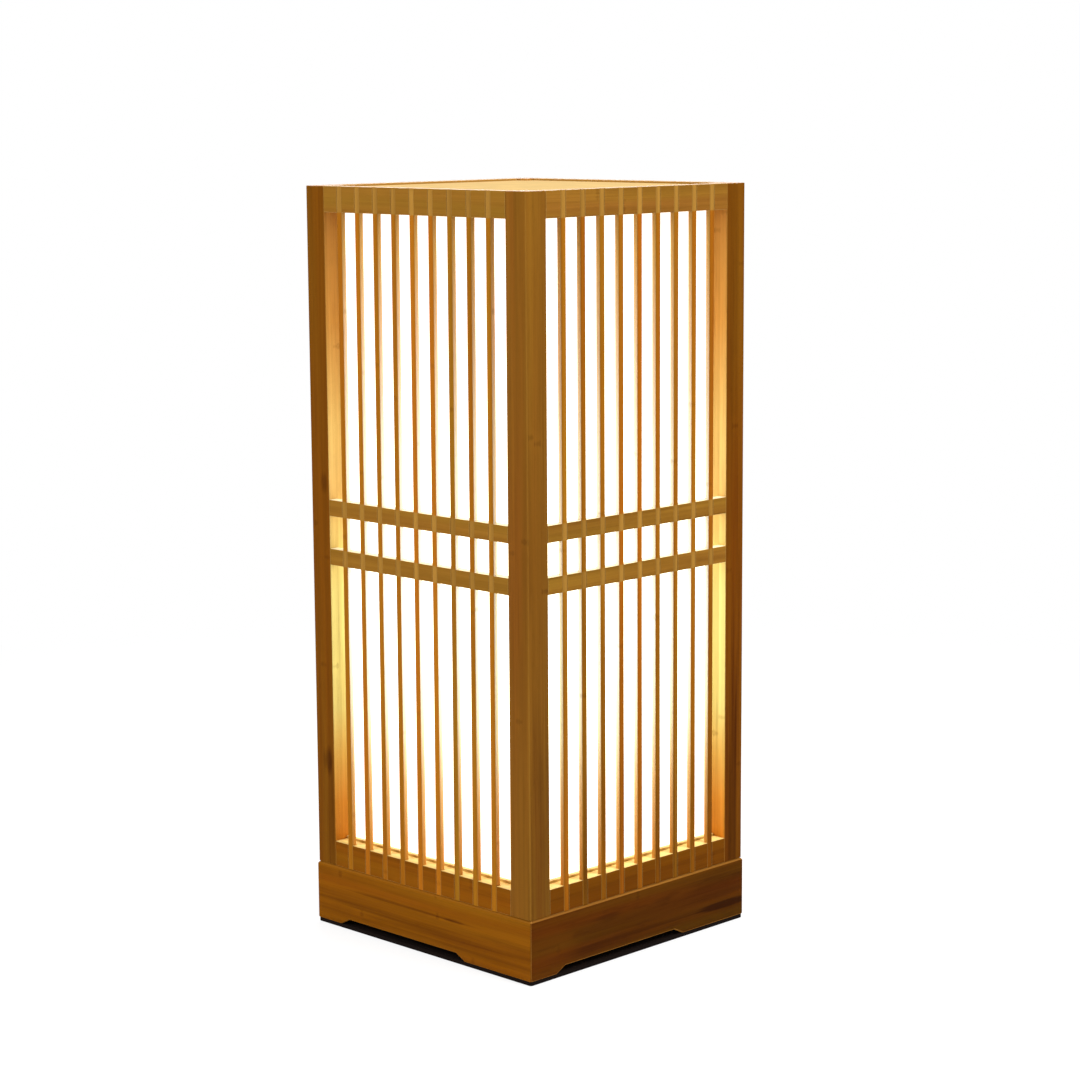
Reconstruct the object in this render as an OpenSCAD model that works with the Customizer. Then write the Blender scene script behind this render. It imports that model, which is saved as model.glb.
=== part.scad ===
// Bamboo table lamp: a square lattice lantern that lifts off a low plinth.
// Millimetres. The origin is the centre of the footprint on the table, +Z is up.
// The near corner of the photograph is the corner at +X, -Y.

/* [View] */
// Piece to draw, or all of them

/* [Overall] */
// Side of the plinth
lamp_w = 150; // [120:1:220]
// Height of the lantern above the plinth
lantern_h = 334; // [240:1:440]
// How far the lantern stands back from the plinth faces
setback = 0.5; // [0:0.1:4]

/* [Plinth] */
// Height of the plinth boards
plinth_h = 29.1; // [22:0.1:50]
// Thickness of the plinth boards
board_t = 10; // [8:0.5:14]
// Chamfer along the top outer edge
edge_cut = 1; // [0.4:0.1:2]
// Height of the relief cut in the bottom edge
relief_h = 3.1; // [1:0.1:6]
// Distance from the left corner to the start of the relief
relief_from = 17; // [12:0.5:30]
// Length of the relief along the bottom edge
relief_len = 88.5; // [60:0.5:95]
// Length of each sloped end of the relief
relief_run = 6; // [2:0.5:10]
// Thickness of the black sheet under the plinth
sheet_t = 1.9; // [1:0.1:4]
// How far the black sheet stands back from the plinth faces
sheet_back = 0.1; // [0:0.1:2]
// Corner radius of the black sheet
sheet_r = 1.5; // [1:0.5:8]

/* [Inside the plinth] */
// Thickness of the base board
base_t = 6; // [4:0.5:9]
// Side of a corner block
block_w = 14; // [11:0.5:18]
// Distance of a screw from the plinth's inner faces
screw_in = 7; // [5.5:0.5:9]
// Length of a screw
screw_len = 18; // [12:0.5:22]
// Shank radius of a screw
screw_r = 1.7; // [1.2:0.1:2.2]
// Head radius of a screw
screw_head_r = 3.4; // [2.8:0.1:4]
// Height of a screw's countersunk head
screw_head_h = 2.2; // [1.5:0.1:2.6]
// Length of a locating cleat
cleat_len = 60; // [30:1:80]
// Width of a locating cleat
cleat_w = 8; // [5:0.5:12]
// Height of a locating cleat
cleat_h = 5; // [3:0.5:8]
// Chamfer that leads the lantern onto a cleat
cleat_cut = 1.5; // [0.5:0.1:2.5]

/* [Cable grommet] */
// Height of the grommet above the underside of the plinth boards
grommet_up = 14.1; // [11:0.1:18]
// Radius of the cable bore
cable_r = 3.1; // [2:0.1:4]
// Wall of the grommet's tube
grommet_wall = 1.8; // [1:0.1:2.5]
// Flange radius of the grommet
flange_r = 7; // [6:0.1:9]
// Flange thickness of the grommet
flange_t = 1.2; // [0.8:0.1:2]
// Height of the lip that holds the grommet from inside
lip_h = 0.9; // [0.4:0.1:1.5]
// Thickness of that lip
lip_t = 1.6; // [1:0.1:3]

/* [Lantern frame] */
// Side of a corner post
post_w = 12.9; // [9:0.1:16]
// Radius of a post's outer arris
arris_r = 0.8; // [0.3:0.1:2]
// Height of a top or bottom rail
rail_h = 12.4; // [9:0.1:18]
// Depth of a top or bottom rail
rail_d = 7.2; // [5.5:0.1:8]
// Height of a mid rail
mid_h = 8; // [5:0.1:12]
// Depth of a mid rail
mid_d = 5; // [4:0.1:6.5]
// Height of the lower mid rail above the lantern's foot
mid_up = 151.1; // [90:0.1:170]
// Gap between the two mid rails
mid_gap = 16; // [8:0.5:30]
// Length of the tenons on the rails
tenon_len = 5; // [2:0.1:5.5]
// Thickness of the tenons
tenon_t = 2.6; // [1.5:0.1:3]
// Step from a rail's edge to its tenon's edge
tenon_step = 2; // [1:0.1:2.5]

/* [Slats] */
// Number of slats on a face
slat_n = 9; // [5:1:11]
// Width of a slat
slat_w = 3.2; // [2.5:0.1:6]
// Depth of a slat
slat_d = 2.6; // [2:0.1:3.8]

/* [Diffuser] */
// Thickness of the beads behind the rails
bead_t = 2.4; // [1.5:0.1:2.8]
// How far the sill beads rise above the bottom rails
bead_up = 1.2; // [0:0.1:4]
// Thickness of the diffuser sheets
film_t = 0.8; // [0.5:0.1:1.2]
// Depth of the top sheet below the top of the lantern
top_down = 1; // [0:0.1:4]
// Height of the side sheets above the lantern's foot
film_up = 6; // [5.5:0.5:10]

/* [Stem and lampholder] */
// Height of the lampholder above the base board
holder_up = 24; // [12:0.5:60]
// Outer radius of the stem
stem_r = 5; // [4:0.1:6]
// Radius of the stem's bore
stem_bore = 3.4; // [2.5:0.1:3.8]
// Length of stem below the base board
stem_down = 7; // [5:0.5:12]
// Length of stem inside the lampholder's neck
stem_in = 8; // [5:0.5:9]
// Width of a stem nut across its flats
nut_af = 14; // [12:0.5:18]
// Height of a stem nut
nut_h = 3; // [2:0.1:4]
// Radius of a stem washer
washer_r = 9; // [7.5:0.1:12]
// Thickness of a stem washer
washer_t = 1.2; // [0.8:0.1:2]
// Neck radius of the lampholder
neck_r = 8; // [7:0.1:10]
// Height of the lampholder's neck
neck_h = 9; // [6:0.5:12]
// Radius of the lampholder
holder_r = 20; // [18:0.1:24]
// Height of the lampholder's sleeve
sleeve_h = 28; // [22:0.5:36]
// Wall of the lampholder
holder_wall = 2; // [1.5:0.1:2.4]
// Radius of the ribs round the sleeve's lower half
rib_r = 0.7; // [0.3:0.1:1]
// Number of those ribs
rib_n = 4; // [2:1:6]

/* [Bulb] */
// Radius of the bulb
bulb_r = 30; // [24:0.5:34]
// Length of the bulb from its tip to its top
bulb_len = 110; // [96:1:120]
// Radius of the screw cap
cap_r = 13; // [12:0.1:13.2]
// Length of the screw cap, tip included
cap_len = 27; // [24:0.5:29]
// Radius of the collar where the globe starts
collar_r = 22.4; // [19:0.1:23]
// Wall of the globe
globe_wall = 1.2; // [0.8:0.1:2]
// Thickness of the plate that carries the diodes
plate_t = 1.5; // [1:0.1:2.5]

/* [Fits] */
// Play between the lantern and its cleats, and between loose flat pieces
play = 0.4; // [0.2:0.1:1]
// Radial clearance round screws, stem and grommet
snug = 0.05; // [0.02:0.01:0.1]
// Radial clearance round the bulb's cap
cap_play = 0.35; // [0.2:0.05:0.5]
// Gap between the bulb's tip and the centre contact
tip_gap = 0.3; // [0.1:0.05:0.5]

/* [Hidden] */
$fn = 96;
bamboo = [0.58, 0.40, 0.18];
bamboo_light = [0.72, 0.54, 0.30];
bamboo_dark = [0.47, 0.30, 0.12];
steel = [0.72, 0.73, 0.74];
white = [0.95, 0.94, 0.90];
black = [0.05, 0.05, 0.05];
brass = [0.80, 0.62, 0.28];
cut = 0.01;

// Half sides
half = lamp_w / 2;
lantern_half = half - setback;
inner_half = half - board_t;
post_in = lantern_half - post_w;
bead_out = lantern_half - rail_d;
bead_in = bead_out - bead_t;
film_in = bead_in - film_t;

// Heights from the table
board_z = sheet_t;
foot_z = board_z + plinth_h;
base_z = foot_z - base_t;
top_z = foot_z + lantern_h;
lower_z = foot_z + mid_up;
upper_z = lower_z + mid_h + mid_gap;
crown_z = top_z - rail_h;
film_top_z = top_z - top_down - film_t;

// Slat spacing: equal gaps from post to post
opening_w = 2 * post_in;
slat_gap = (opening_w - slat_n * slat_w) / (slat_n + 1);
slat_pitch = slat_w + slat_gap;

// Lampholder and bulb heights
holder_z = foot_z + holder_up;
dome_z = holder_z + neck_h;
dome_h = holder_r - neck_r - holder_wall;
sleeve_z = dome_z + dome_h;
seat_t = 5;
seat_z = sleeve_z - seat_t;
contact_t = 1;
tip_z = sleeve_z + contact_t + tip_gap;
shell_in = cap_r + cap_play;
shell_t = 0.4;
shell_top = tip_z + cap_len - 3;
sleeve_top = sleeve_z + sleeve_h;
globe_z = tip_z + bulb_len - bulb_r;
globe_drop = sqrt(bulb_r * bulb_r - collar_r * collar_r);
collar_z = globe_z - globe_drop;
cap_top = tip_z + cap_len;
taper_z = tip_z + 4;
thread_z = taper_z + 3;

// Turns a piece of the front face to face number k, counted anticlockwise from the front
module face(k) {
    rotate([0, 0, 90 * k])
        children();
}

// Box from x0 to x1, y0 to y1 and z0 to z1
module span(x0, x1, y0, y1, z0, z1) {
    translate([x0, y0, z0])
        cube([x1 - x0, y1 - y0, z1 - z0]);
}

// Upright cylinder from z0 to z1
module rod(r, z0, z1) {
    translate([0, 0, z0])
        cylinder(r = r, h = z1 - z0);
}

// Plinth board of the front face: mitred ends, chamfered top edge, relief in the bottom edge
module plinth_board() {
    difference() {
        translate([0, 0, board_z])
            linear_extrude(plinth_h)
                polygon([[-half, -half], [half, -half], [inner_half, -inner_half],
                    [-inner_half, -inner_half]]);
        translate([-half - 1, -half, foot_z])
            rotate([90, 0, 90])
                linear_extrude(lamp_w + 2)
                    polygon([[-1, 1], [edge_cut + 1, 1], [edge_cut, 0], [0, -edge_cut],
                        [-1, -edge_cut - 1]]);
        translate([-half + relief_from, -half - 1, board_z])
            rotate([90, 0, 0])
                mirror([0, 0, 1])
                    linear_extrude(board_t + 2)
                        polygon([[0, -1], [0, 0], [relief_run, relief_h],
                            [relief_len - relief_run, relief_h], [relief_len, 0],
                            [relief_len, -1]]);
    }
}

module plinth_front() {
    color(bamboo_dark) plinth_board();
}

module plinth_right() {
    color(bamboo_dark) face(1) plinth_board();
}

// The rear board also has the stepped hole of the cable grommet
module plinth_back() {
    color(bamboo_dark)
        difference() {
            face(2) plinth_board();
            along_cable() {
                rod(cable_r + grommet_wall + snug, -1, board_t + 1);
                rod(flange_r + snug, -1, flange_t + snug);
            }
        }
}

module plinth_left() {
    color(bamboo_dark) face(3) plinth_board();
}

// Places a piece drawn along +Z at the grommet, running inwards from the rear face
module along_cable() {
    translate([0, half, board_z + grommet_up])
        rotate([90, 0, 0])
            children();
}

module cable_grommet() {
    tube_r = cable_r + grommet_wall;
    color(black)
        along_cable()
            difference() {
                union() {
                    rod(tube_r, 0, board_t + lip_t + snug);
                    rod(flange_r, 0, flange_t);
                    rod(tube_r + lip_h, board_t + snug, board_t + snug + lip_t);
                }
                rod(cable_r, -1, board_t + lip_t + 1);
            }
}

// Square of four copies at the screw positions
module at_corners() {
    for (k = [0:3])
        rotate([0, 0, 90 * k])
            translate([inner_half - screw_in, -inner_half + screw_in, 0])
                children();
}

module corner_blocks() {
    color(bamboo_light)
        difference() {
            for (k = [0:3])
                face(k)
                    span(inner_half - block_w, inner_half, -inner_half,
                        -inner_half + block_w, board_z, base_z);
            at_corners()
                rod(screw_r + snug, foot_z - screw_len - 1, foot_z);
        }
}

module base_board() {
    side = inner_half - 0.1;
    color(bamboo_light)
        difference() {
            span(-side, side, -side, side, base_z, foot_z);
            rod(stem_r + snug, base_z - 1, foot_z + 1);
            at_corners() {
                rod(screw_r + snug, base_z - 1, foot_z + 1);
                screw_head(snug);
            }
        }
}

// Countersunk head, grown by extra all round
module screw_head(extra) {
    translate([0, 0, foot_z - screw_head_h - extra])
        cylinder(r1 = screw_r + extra, r2 = screw_head_r + extra,
            h = screw_head_h + extra + (extra > 0 ? cut : 0));
}

module base_screws() {
    color(steel)
        at_corners() {
            rod(screw_r, foot_z - screw_len + 3, foot_z - screw_head_h);
            screw_head(0);
            translate([0, 0, foot_z - screw_len])
                cylinder(r1 = 0.2, r2 = screw_r, h = 3);
        }
}

module base_sheet() {
    side = half - sheet_back;
    color(black)
        linear_extrude(sheet_t)
            union() {
                square([2 * side, 2 * (side - sheet_r)], center = true);
                square([2 * (side - sheet_r), 2 * side], center = true);
                for (sx = [-1, 1], sy = [-1, 1])
                    translate([sx * (side - sheet_r), sy * (side - sheet_r)])
                        circle(r = sheet_r);
            }
}

module locating_cleats() {
    out = bead_in - play;
    color(bamboo_light)
        for (k = [0:3])
            face(k)
                translate([-cleat_len / 2, -out, foot_z])
                    rotate([90, 0, 90])
                        linear_extrude(cleat_len)
                            polygon([[0, 0], [cleat_w, 0], [cleat_w, cleat_h],
                                [cleat_cut, cleat_h], [0, cleat_h - cleat_cut]]);
}

// Threaded stem from under the base board into the lampholder's neck
module stem() {
    color(steel)
        difference() {
            rod(stem_r, base_z - stem_down, holder_z + stem_in);
            rod(stem_bore, base_z - stem_down - 1, holder_z + stem_in + 1);
        }
}

module stem_nuts() {
    nut_r = nut_af / 2 / cos(30);
    color(steel)
        for (z = [base_z - washer_t - nut_h, foot_z + washer_t])
            difference() {
                translate([0, 0, z])
                    cylinder(r = nut_r, h = nut_h, $fn = 6);
                rod(stem_r + snug, z - 1, z + nut_h + 1);
            }
}

module stem_washers() {
    color(steel)
        for (z = [base_z - washer_t, foot_z])
            difference() {
                rod(washer_r, z, z + washer_t);
                rod(stem_r + snug, z - 1, z + washer_t + 1);
            }
}

// Lower part of the lampholder: neck, domed shoulder and the rim that takes the sleeve
module holder_cap() {
    rim = holder_r - holder_wall;
    color(white)
        difference() {
            rotate_extrude()
                union() {
                    translate([0, holder_z])
                        square([neck_r, neck_h + 1]);
                    translate([0, dome_z])
                        square([rim - dome_h, dome_h]);
                    intersection() {
                        translate([rim - dome_h, sleeve_z])
                            circle(r = dome_h);
                        translate([rim - dome_h, dome_z])
                            square([dome_h, dome_h]);
                    }
                    translate([0, sleeve_z - cut])
                        square([rim, 4 + cut]);
                }
            rod(stem_r + snug, holder_z - 1, holder_z + stem_in + snug);
            rod(stem_bore, holder_z, seat_z + 1);
            rod(rim - holder_wall, seat_z, sleeve_z + 5);
        }
}

// Sleeve that screws over the cap's rim and closes round the screw shell
module holder_sleeve() {
    rim = holder_r - holder_wall;
    mouth = shell_in + shell_t + 0.3;
    color(white)
        rotate_extrude()
            difference() {
                union() {
                    translate([0, sleeve_z])
                        square([holder_r - rib_r, sleeve_h]);
                    for (i = [0:rib_n - 1])
                        translate([holder_r - rib_r, sleeve_z + 2 + i * 3])
                            circle(r = rib_r, $fn = 24);
                }
                translate([-1, sleeve_z - 1])
                    square([rim + snug + 1, 5 + snug]);
                translate([-1, sleeve_z])
                    square([rim - holder_wall + 1, sleeve_h - holder_wall]);
                translate([-1, sleeve_z])
                    square([mouth + 1, sleeve_h + 1]);
            }
}

// Disc inside the cap that carries the shell and the centre contact
module holder_insulator() {
    color(white)
        difference() {
            rod(holder_r - 2 * holder_wall - snug, seat_z, sleeve_z);
            for (s = [-1, 1])
                translate([s * 11, 0, 0])
                    rod(1.6, seat_z - 1, sleeve_z + 1);
        }
}

// Brass screw shell: a cup with a wide hole in its floor
module holder_shell() {
    color(brass)
        rotate_extrude()
            difference() {
                translate([0, sleeve_z])
                    square([shell_in + shell_t, shell_top - sleeve_z]);
                translate([-1, sleeve_z + shell_t])
                    square([shell_in + 1, shell_top]);
                translate([-1, sleeve_z - 1])
                    square([9, 3]);
            }
}

module holder_contact() {
    color(brass)
        union() {
            rod(4, sleeve_z, sleeve_z + contact_t);
            span(-6.5, 0, -2, 2, sleeve_z, sleeve_z + 0.5);
        }
}

// Opal globe, a hollow shell cut flat where it meets the collar
module bulb_globe() {
    color(white)
        rotate_extrude()
            intersection() {
                translate([0, globe_z])
                    difference() {
                        circle(r = bulb_r);
                        circle(r = bulb_r - globe_wall);
                    }
                translate([0, collar_z])
                    square([bulb_r + 1, 2 * bulb_r + 1]);
            }
}

module bulb_collar() {
    low = cap_r + 1.2;
    color(white)
        rotate_extrude()
            polygon([[0, cap_top], [low, cap_top], [low + 0.8, cap_top + 4],
                [collar_r - 0.3, collar_z - 3], [collar_r, collar_z - 2], [collar_r, collar_z],
                [0, collar_z]]);
}

module bulb_plate() {
    low_in = sqrt(pow(bulb_r - globe_wall, 2) - pow(globe_drop, 2));
    color(steel)
        rod(low_in - 0.5, collar_z, collar_z + plate_t);
}

// Screw cap with a tapered foot and a skirt that meets the collar
module bulb_cap() {
    color(steel)
        rotate_extrude()
            polygon([[0, taper_z], [cap_r - 3, taper_z], [cap_r, thread_z],
                [cap_r, cap_top - 2], [cap_r + 0.6, cap_top - 1], [cap_r + 0.6, cap_top],
                [0, cap_top]]);
}

module bulb_insulator() {
    color(black)
        rotate_extrude()
            polygon([[0, tip_z + 1.4], [5, tip_z + 1.4], [cap_r - 3.5, taper_z], [0, taper_z]]);
}

module bulb_tip() {
    color(brass)
        rotate_extrude()
            polygon([[0, tip_z], [3, tip_z], [4.6, tip_z + 0.8], [4.6, tip_z + 1.4],
                [0, tip_z + 1.4]]);
}

// Corner post at +X, -Y, with the mortises that take the rails' tenons
module post() {
    difference() {
        translate([post_in, -lantern_half, foot_z])
            linear_extrude(lantern_h)
                union() {
                    square([post_w - arris_r, post_w]);
                    translate([0, arris_r])
                        square([post_w, post_w - arris_r]);
                    translate([post_w - arris_r, arris_r])
                        circle(r = arris_r);
                }
        all_tenons();
        face(1)
            all_tenons();
    }
}

module post_near() {
    color(bamboo) post();
}

module post_right() {
    color(bamboo) face(1) post();
}

module post_far() {
    color(bamboo) face(2) post();
}

module post_left() {
    color(bamboo) face(3) post();
}

// Tenons at both ends of a front rail of height h and depth d whose foot is at z
module tenons(z, h, d) {
    y0 = -lantern_half + (d - tenon_t) / 2;
    reach = post_in + tenon_len;
    for (s = [0, 1])
        mirror([s, 0, 0])
            span(post_in - cut, reach, y0, y0 + tenon_t, z + tenon_step, z + h - tenon_step);
}

// The tenons of the four front rails
module all_tenons() {
    tenons(foot_z, rail_h, rail_d);
    tenons(lower_z, mid_h, mid_d);
    tenons(upper_z, mid_h, mid_d);
    tenons(crown_z, rail_h, rail_d);
}

// A front rail with its tenons and the notches that the slats lie in
module rail(z, h, d) {
    difference() {
        union() {
            span(-post_in, post_in, -lantern_half, -lantern_half + d, z, z + h);
            tenons(z, h, d);
        }
        slat_row(z - 1, z + h + 1, 1);
    }
}

// The front slats from z0 to z1, reaching extra in front of the lattice
module slat_row(z0, z1, extra) {
    for (i = [0:slat_n - 1]) {
        x = -post_in + slat_gap + i * slat_pitch;
        span(x, x + slat_w, -lantern_half - extra, -lantern_half + slat_d, z0, z1);
    }
}

module rail_top(k) {
    color(bamboo) face(k) rail(crown_z, rail_h, rail_d);
}

module rail_upper(k) {
    color(bamboo) face(k) rail(upper_z, mid_h, mid_d);
}

module rail_lower(k) {
    color(bamboo) face(k) rail(lower_z, mid_h, mid_d);
}

module rail_foot(k) {
    color(bamboo) face(k) rail(foot_z, rail_h, rail_d);
}

module slats(k) {
    color(bamboo_light) face(k) slat_row(foot_z, top_z, 0);
}

// Strips between the posts and behind the rails, from z0 to z1
module beads(z0, z1) {
    color(bamboo_light)
        for (k = [0:3])
            face(k)
                span(-post_in, post_in, -bead_out, -bead_in, z0, z1);
}

module sill_beads() {
    beads(foot_z, foot_z + rail_h + bead_up);
}

module head_beads() {
    beads(crown_z, film_top_z);
}

// Side diffuser sheet of face k, glued to the inner side of the beads
module film(k) {
    side = post_in - play / 2;
    color(white)
        face(k)
            span(-side, side, -bead_in, -film_in, foot_z + film_up, film_top_z - play / 2);
}

// Top diffuser sheet, notched round the posts and lying on the head beads
module film_top() {
    side = bead_out - play / 2;
    notch = post_in - play / 2;
    color(white)
        translate([0, 0, film_top_z])
            linear_extrude(film_t)
                union() {
                    square([2 * side, 2 * notch], center = true);
                    square([2 * notch, 2 * side], center = true);
                }
}

plinth_front();
plinth_right();
plinth_back();
plinth_left();
corner_blocks();
base_board();
base_screws();
base_sheet();
cable_grommet();
locating_cleats();
stem();
stem_nuts();
stem_washers();
holder_cap();
holder_sleeve();
holder_insulator();
holder_shell();
holder_contact();
bulb_globe();
bulb_collar();
bulb_plate();
bulb_cap();
bulb_insulator();
bulb_tip();
post_near();
post_right();
post_far();
post_left();
rail_top(0);  // rail_top_front
rail_top(1);  // rail_top_right
rail_top(2);  // rail_top_back
rail_top(3);  // rail_top_left
rail_upper(0);  // rail_upper_front
rail_upper(1);  // rail_upper_right
rail_upper(2);  // rail_upper_back
rail_upper(3);  // rail_upper_left
rail_lower(0);  // rail_lower_front
rail_lower(1);  // rail_lower_right
rail_lower(2);  // rail_lower_back
rail_lower(3);  // rail_lower_left
rail_foot(0);  // rail_foot_front
rail_foot(1);  // rail_foot_right
rail_foot(2);  // rail_foot_back
rail_foot(3);  // rail_foot_left
slats(0);  // slats_front
slats(1);  // slats_right
slats(2);  // slats_back
slats(3);  // slats_left
sill_beads();
head_beads();
film(0);  // film_front
film(1);  // film_right
film(2);  // film_back
film(3);  // film_left
film_top();
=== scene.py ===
"""Bamboo table lamp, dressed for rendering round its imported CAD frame.

A square lattice lantern with lit sheets behind its slats lifts off a low plinth that carries the
stem, the lampholder and the bulb. Lengths in the tables and classes below are millimetres in the
CAD's frame: the origin is the centre of the footprint, +Z is up, and the near corner of the
photograph is at +X, -Y. Meshes and node trees are in metres. Colours are linear.
"""

from __future__ import annotations

import logging
import math
import random
from collections.abc import Callable, Iterable, Sequence
from dataclasses import dataclass, replace
from enum import Enum
from typing import Any

import bmesh
import bpy
from mathutils import Matrix, Vector

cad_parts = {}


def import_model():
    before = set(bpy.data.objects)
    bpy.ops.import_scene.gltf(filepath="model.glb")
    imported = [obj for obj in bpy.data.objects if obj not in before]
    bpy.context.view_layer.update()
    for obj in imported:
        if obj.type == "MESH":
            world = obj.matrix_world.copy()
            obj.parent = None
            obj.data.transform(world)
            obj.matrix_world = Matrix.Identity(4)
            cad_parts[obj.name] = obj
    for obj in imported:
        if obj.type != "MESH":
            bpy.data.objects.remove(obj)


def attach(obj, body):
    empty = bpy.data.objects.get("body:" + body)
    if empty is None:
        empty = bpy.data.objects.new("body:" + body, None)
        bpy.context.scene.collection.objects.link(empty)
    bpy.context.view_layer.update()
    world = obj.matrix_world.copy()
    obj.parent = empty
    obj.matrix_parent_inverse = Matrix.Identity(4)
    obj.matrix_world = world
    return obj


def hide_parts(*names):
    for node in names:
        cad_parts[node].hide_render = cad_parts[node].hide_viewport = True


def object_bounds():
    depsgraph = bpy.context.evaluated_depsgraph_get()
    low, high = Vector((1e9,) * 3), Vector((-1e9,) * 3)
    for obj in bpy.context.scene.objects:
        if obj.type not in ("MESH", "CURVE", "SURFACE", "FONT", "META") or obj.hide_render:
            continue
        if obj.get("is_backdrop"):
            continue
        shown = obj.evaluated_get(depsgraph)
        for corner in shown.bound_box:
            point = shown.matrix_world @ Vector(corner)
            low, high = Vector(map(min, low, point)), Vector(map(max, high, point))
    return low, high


LOG = logging.getLogger("lamp")
MM = 0.001

# Angle in degrees from which the edge between two faces stays sharp, unless a piece says otherwise
SHARP = 25.0
# Distance in metres within which points of a CAD mesh are one, and radians between faces that are
WELD, FLAT = 2e-6, 0.004
# Cosines: above the first a face looks along an axis, below the second it is an eased edge
ALONG, EASED = 0.85, 0.97
# Distance in metres from the lamp's middle beyond which a stick belongs to a face of the lamp
OUTER = 60 * MM
# Corner of a turned section, in degrees, from which it counts as smooth
SMOOTH = 155.0
# Distance between a culm's knuckles, in metres
KNUCKLES = 0.247

Colour = tuple[float, float, float]
Levels = tuple[tuple[float, Colour], ...]
Outline = list[tuple[float, float]]
Wave = Callable[[float, float], float]


class Side(Enum):
    """The lamp's four faces, by the quarter turns that bring the front face there."""

    FRONT = 0
    RIGHT = 1
    BACK = 2
    LEFT = 3

    @property
    def word(self) -> str:
        """The face's name as the CAD nodes spell it."""
        return self.name.lower()

    @property
    def turn(self) -> float:
        """Angle from the front face to this one, in radians."""
        return self.value * math.pi / 2


# ---------------------------------------------------------------------------------------------
# Node trees
# ---------------------------------------------------------------------------------------------


def arithmetic(operation: str, swapped: bool = False) -> Callable[[Socket, Feed], Socket]:
    """Makes the method of an operator.

    Args:
        operation: Blender's name of the Math operation.
        swapped: Whether the other value comes first, as in 1 - mask.

    Returns:
        The method.
    """

    def method(self: Socket, other: Feed) -> Socket:
        """Adds the operator's Math node."""
        return self.web.maths(operation, *((other, self) if swapped else (self, other)))

    return method


class Socket:
    """One output of a node. Arithmetic on it adds Math nodes."""

    def __init__(self, web: Web, raw: bpy.types.NodeSocket | None) -> None:
        """Wraps Blender's own socket in the tree that it belongs to."""
        self.web, self.raw = web, raw

    __add__, __radd__ = arithmetic("ADD"), arithmetic("ADD", True)
    __sub__, __rsub__ = arithmetic("SUBTRACT"), arithmetic("SUBTRACT", True)
    __mul__, __rmul__ = arithmetic("MULTIPLY"), arithmetic("MULTIPLY", True)
    __truediv__, __rtruediv__ = arithmetic("DIVIDE"), arithmetic("DIVIDE", True)

    def __abs__(self) -> Socket:
        """Size without the sign."""
        return self.web.maths("ABSOLUTE", self)

    def floor(self) -> Socket:
        """Whole number below."""
        return self.web.maths("FLOOR", self)

    def fraction(self) -> Socket:
        """What is left above the whole number below."""
        return self.web.maths("FRACT", self)

    def clamp(self) -> Socket:
        """The value held between 0 and 1."""
        return self.web.maths("ADD", self, 0.0, clamped=True)

    def rise(self, low: float, high: float) -> Socket:
        """Smooth step from 0 at low to 1 at high, or the other way round if low is the greater.

        Args:
            low: Value at which the step is 0.
            high: Value at which it is 1.

        Returns:
            The step.
        """
        first, last = (0.0, 1.0) if low < high else (1.0, 0.0)
        return self.web.node(
            "ShaderNodeMapRange",
            {"interpolation_type": "SMOOTHSTEP", "clamp": True},
            {"Value": self, "From Min": min(low, high), "From Max": max(low, high),
             "To Min": first, "To Max": last},
        )


Feed = Socket | float | int | str | bool | Sequence[float] | bpy.types.ID


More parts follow.
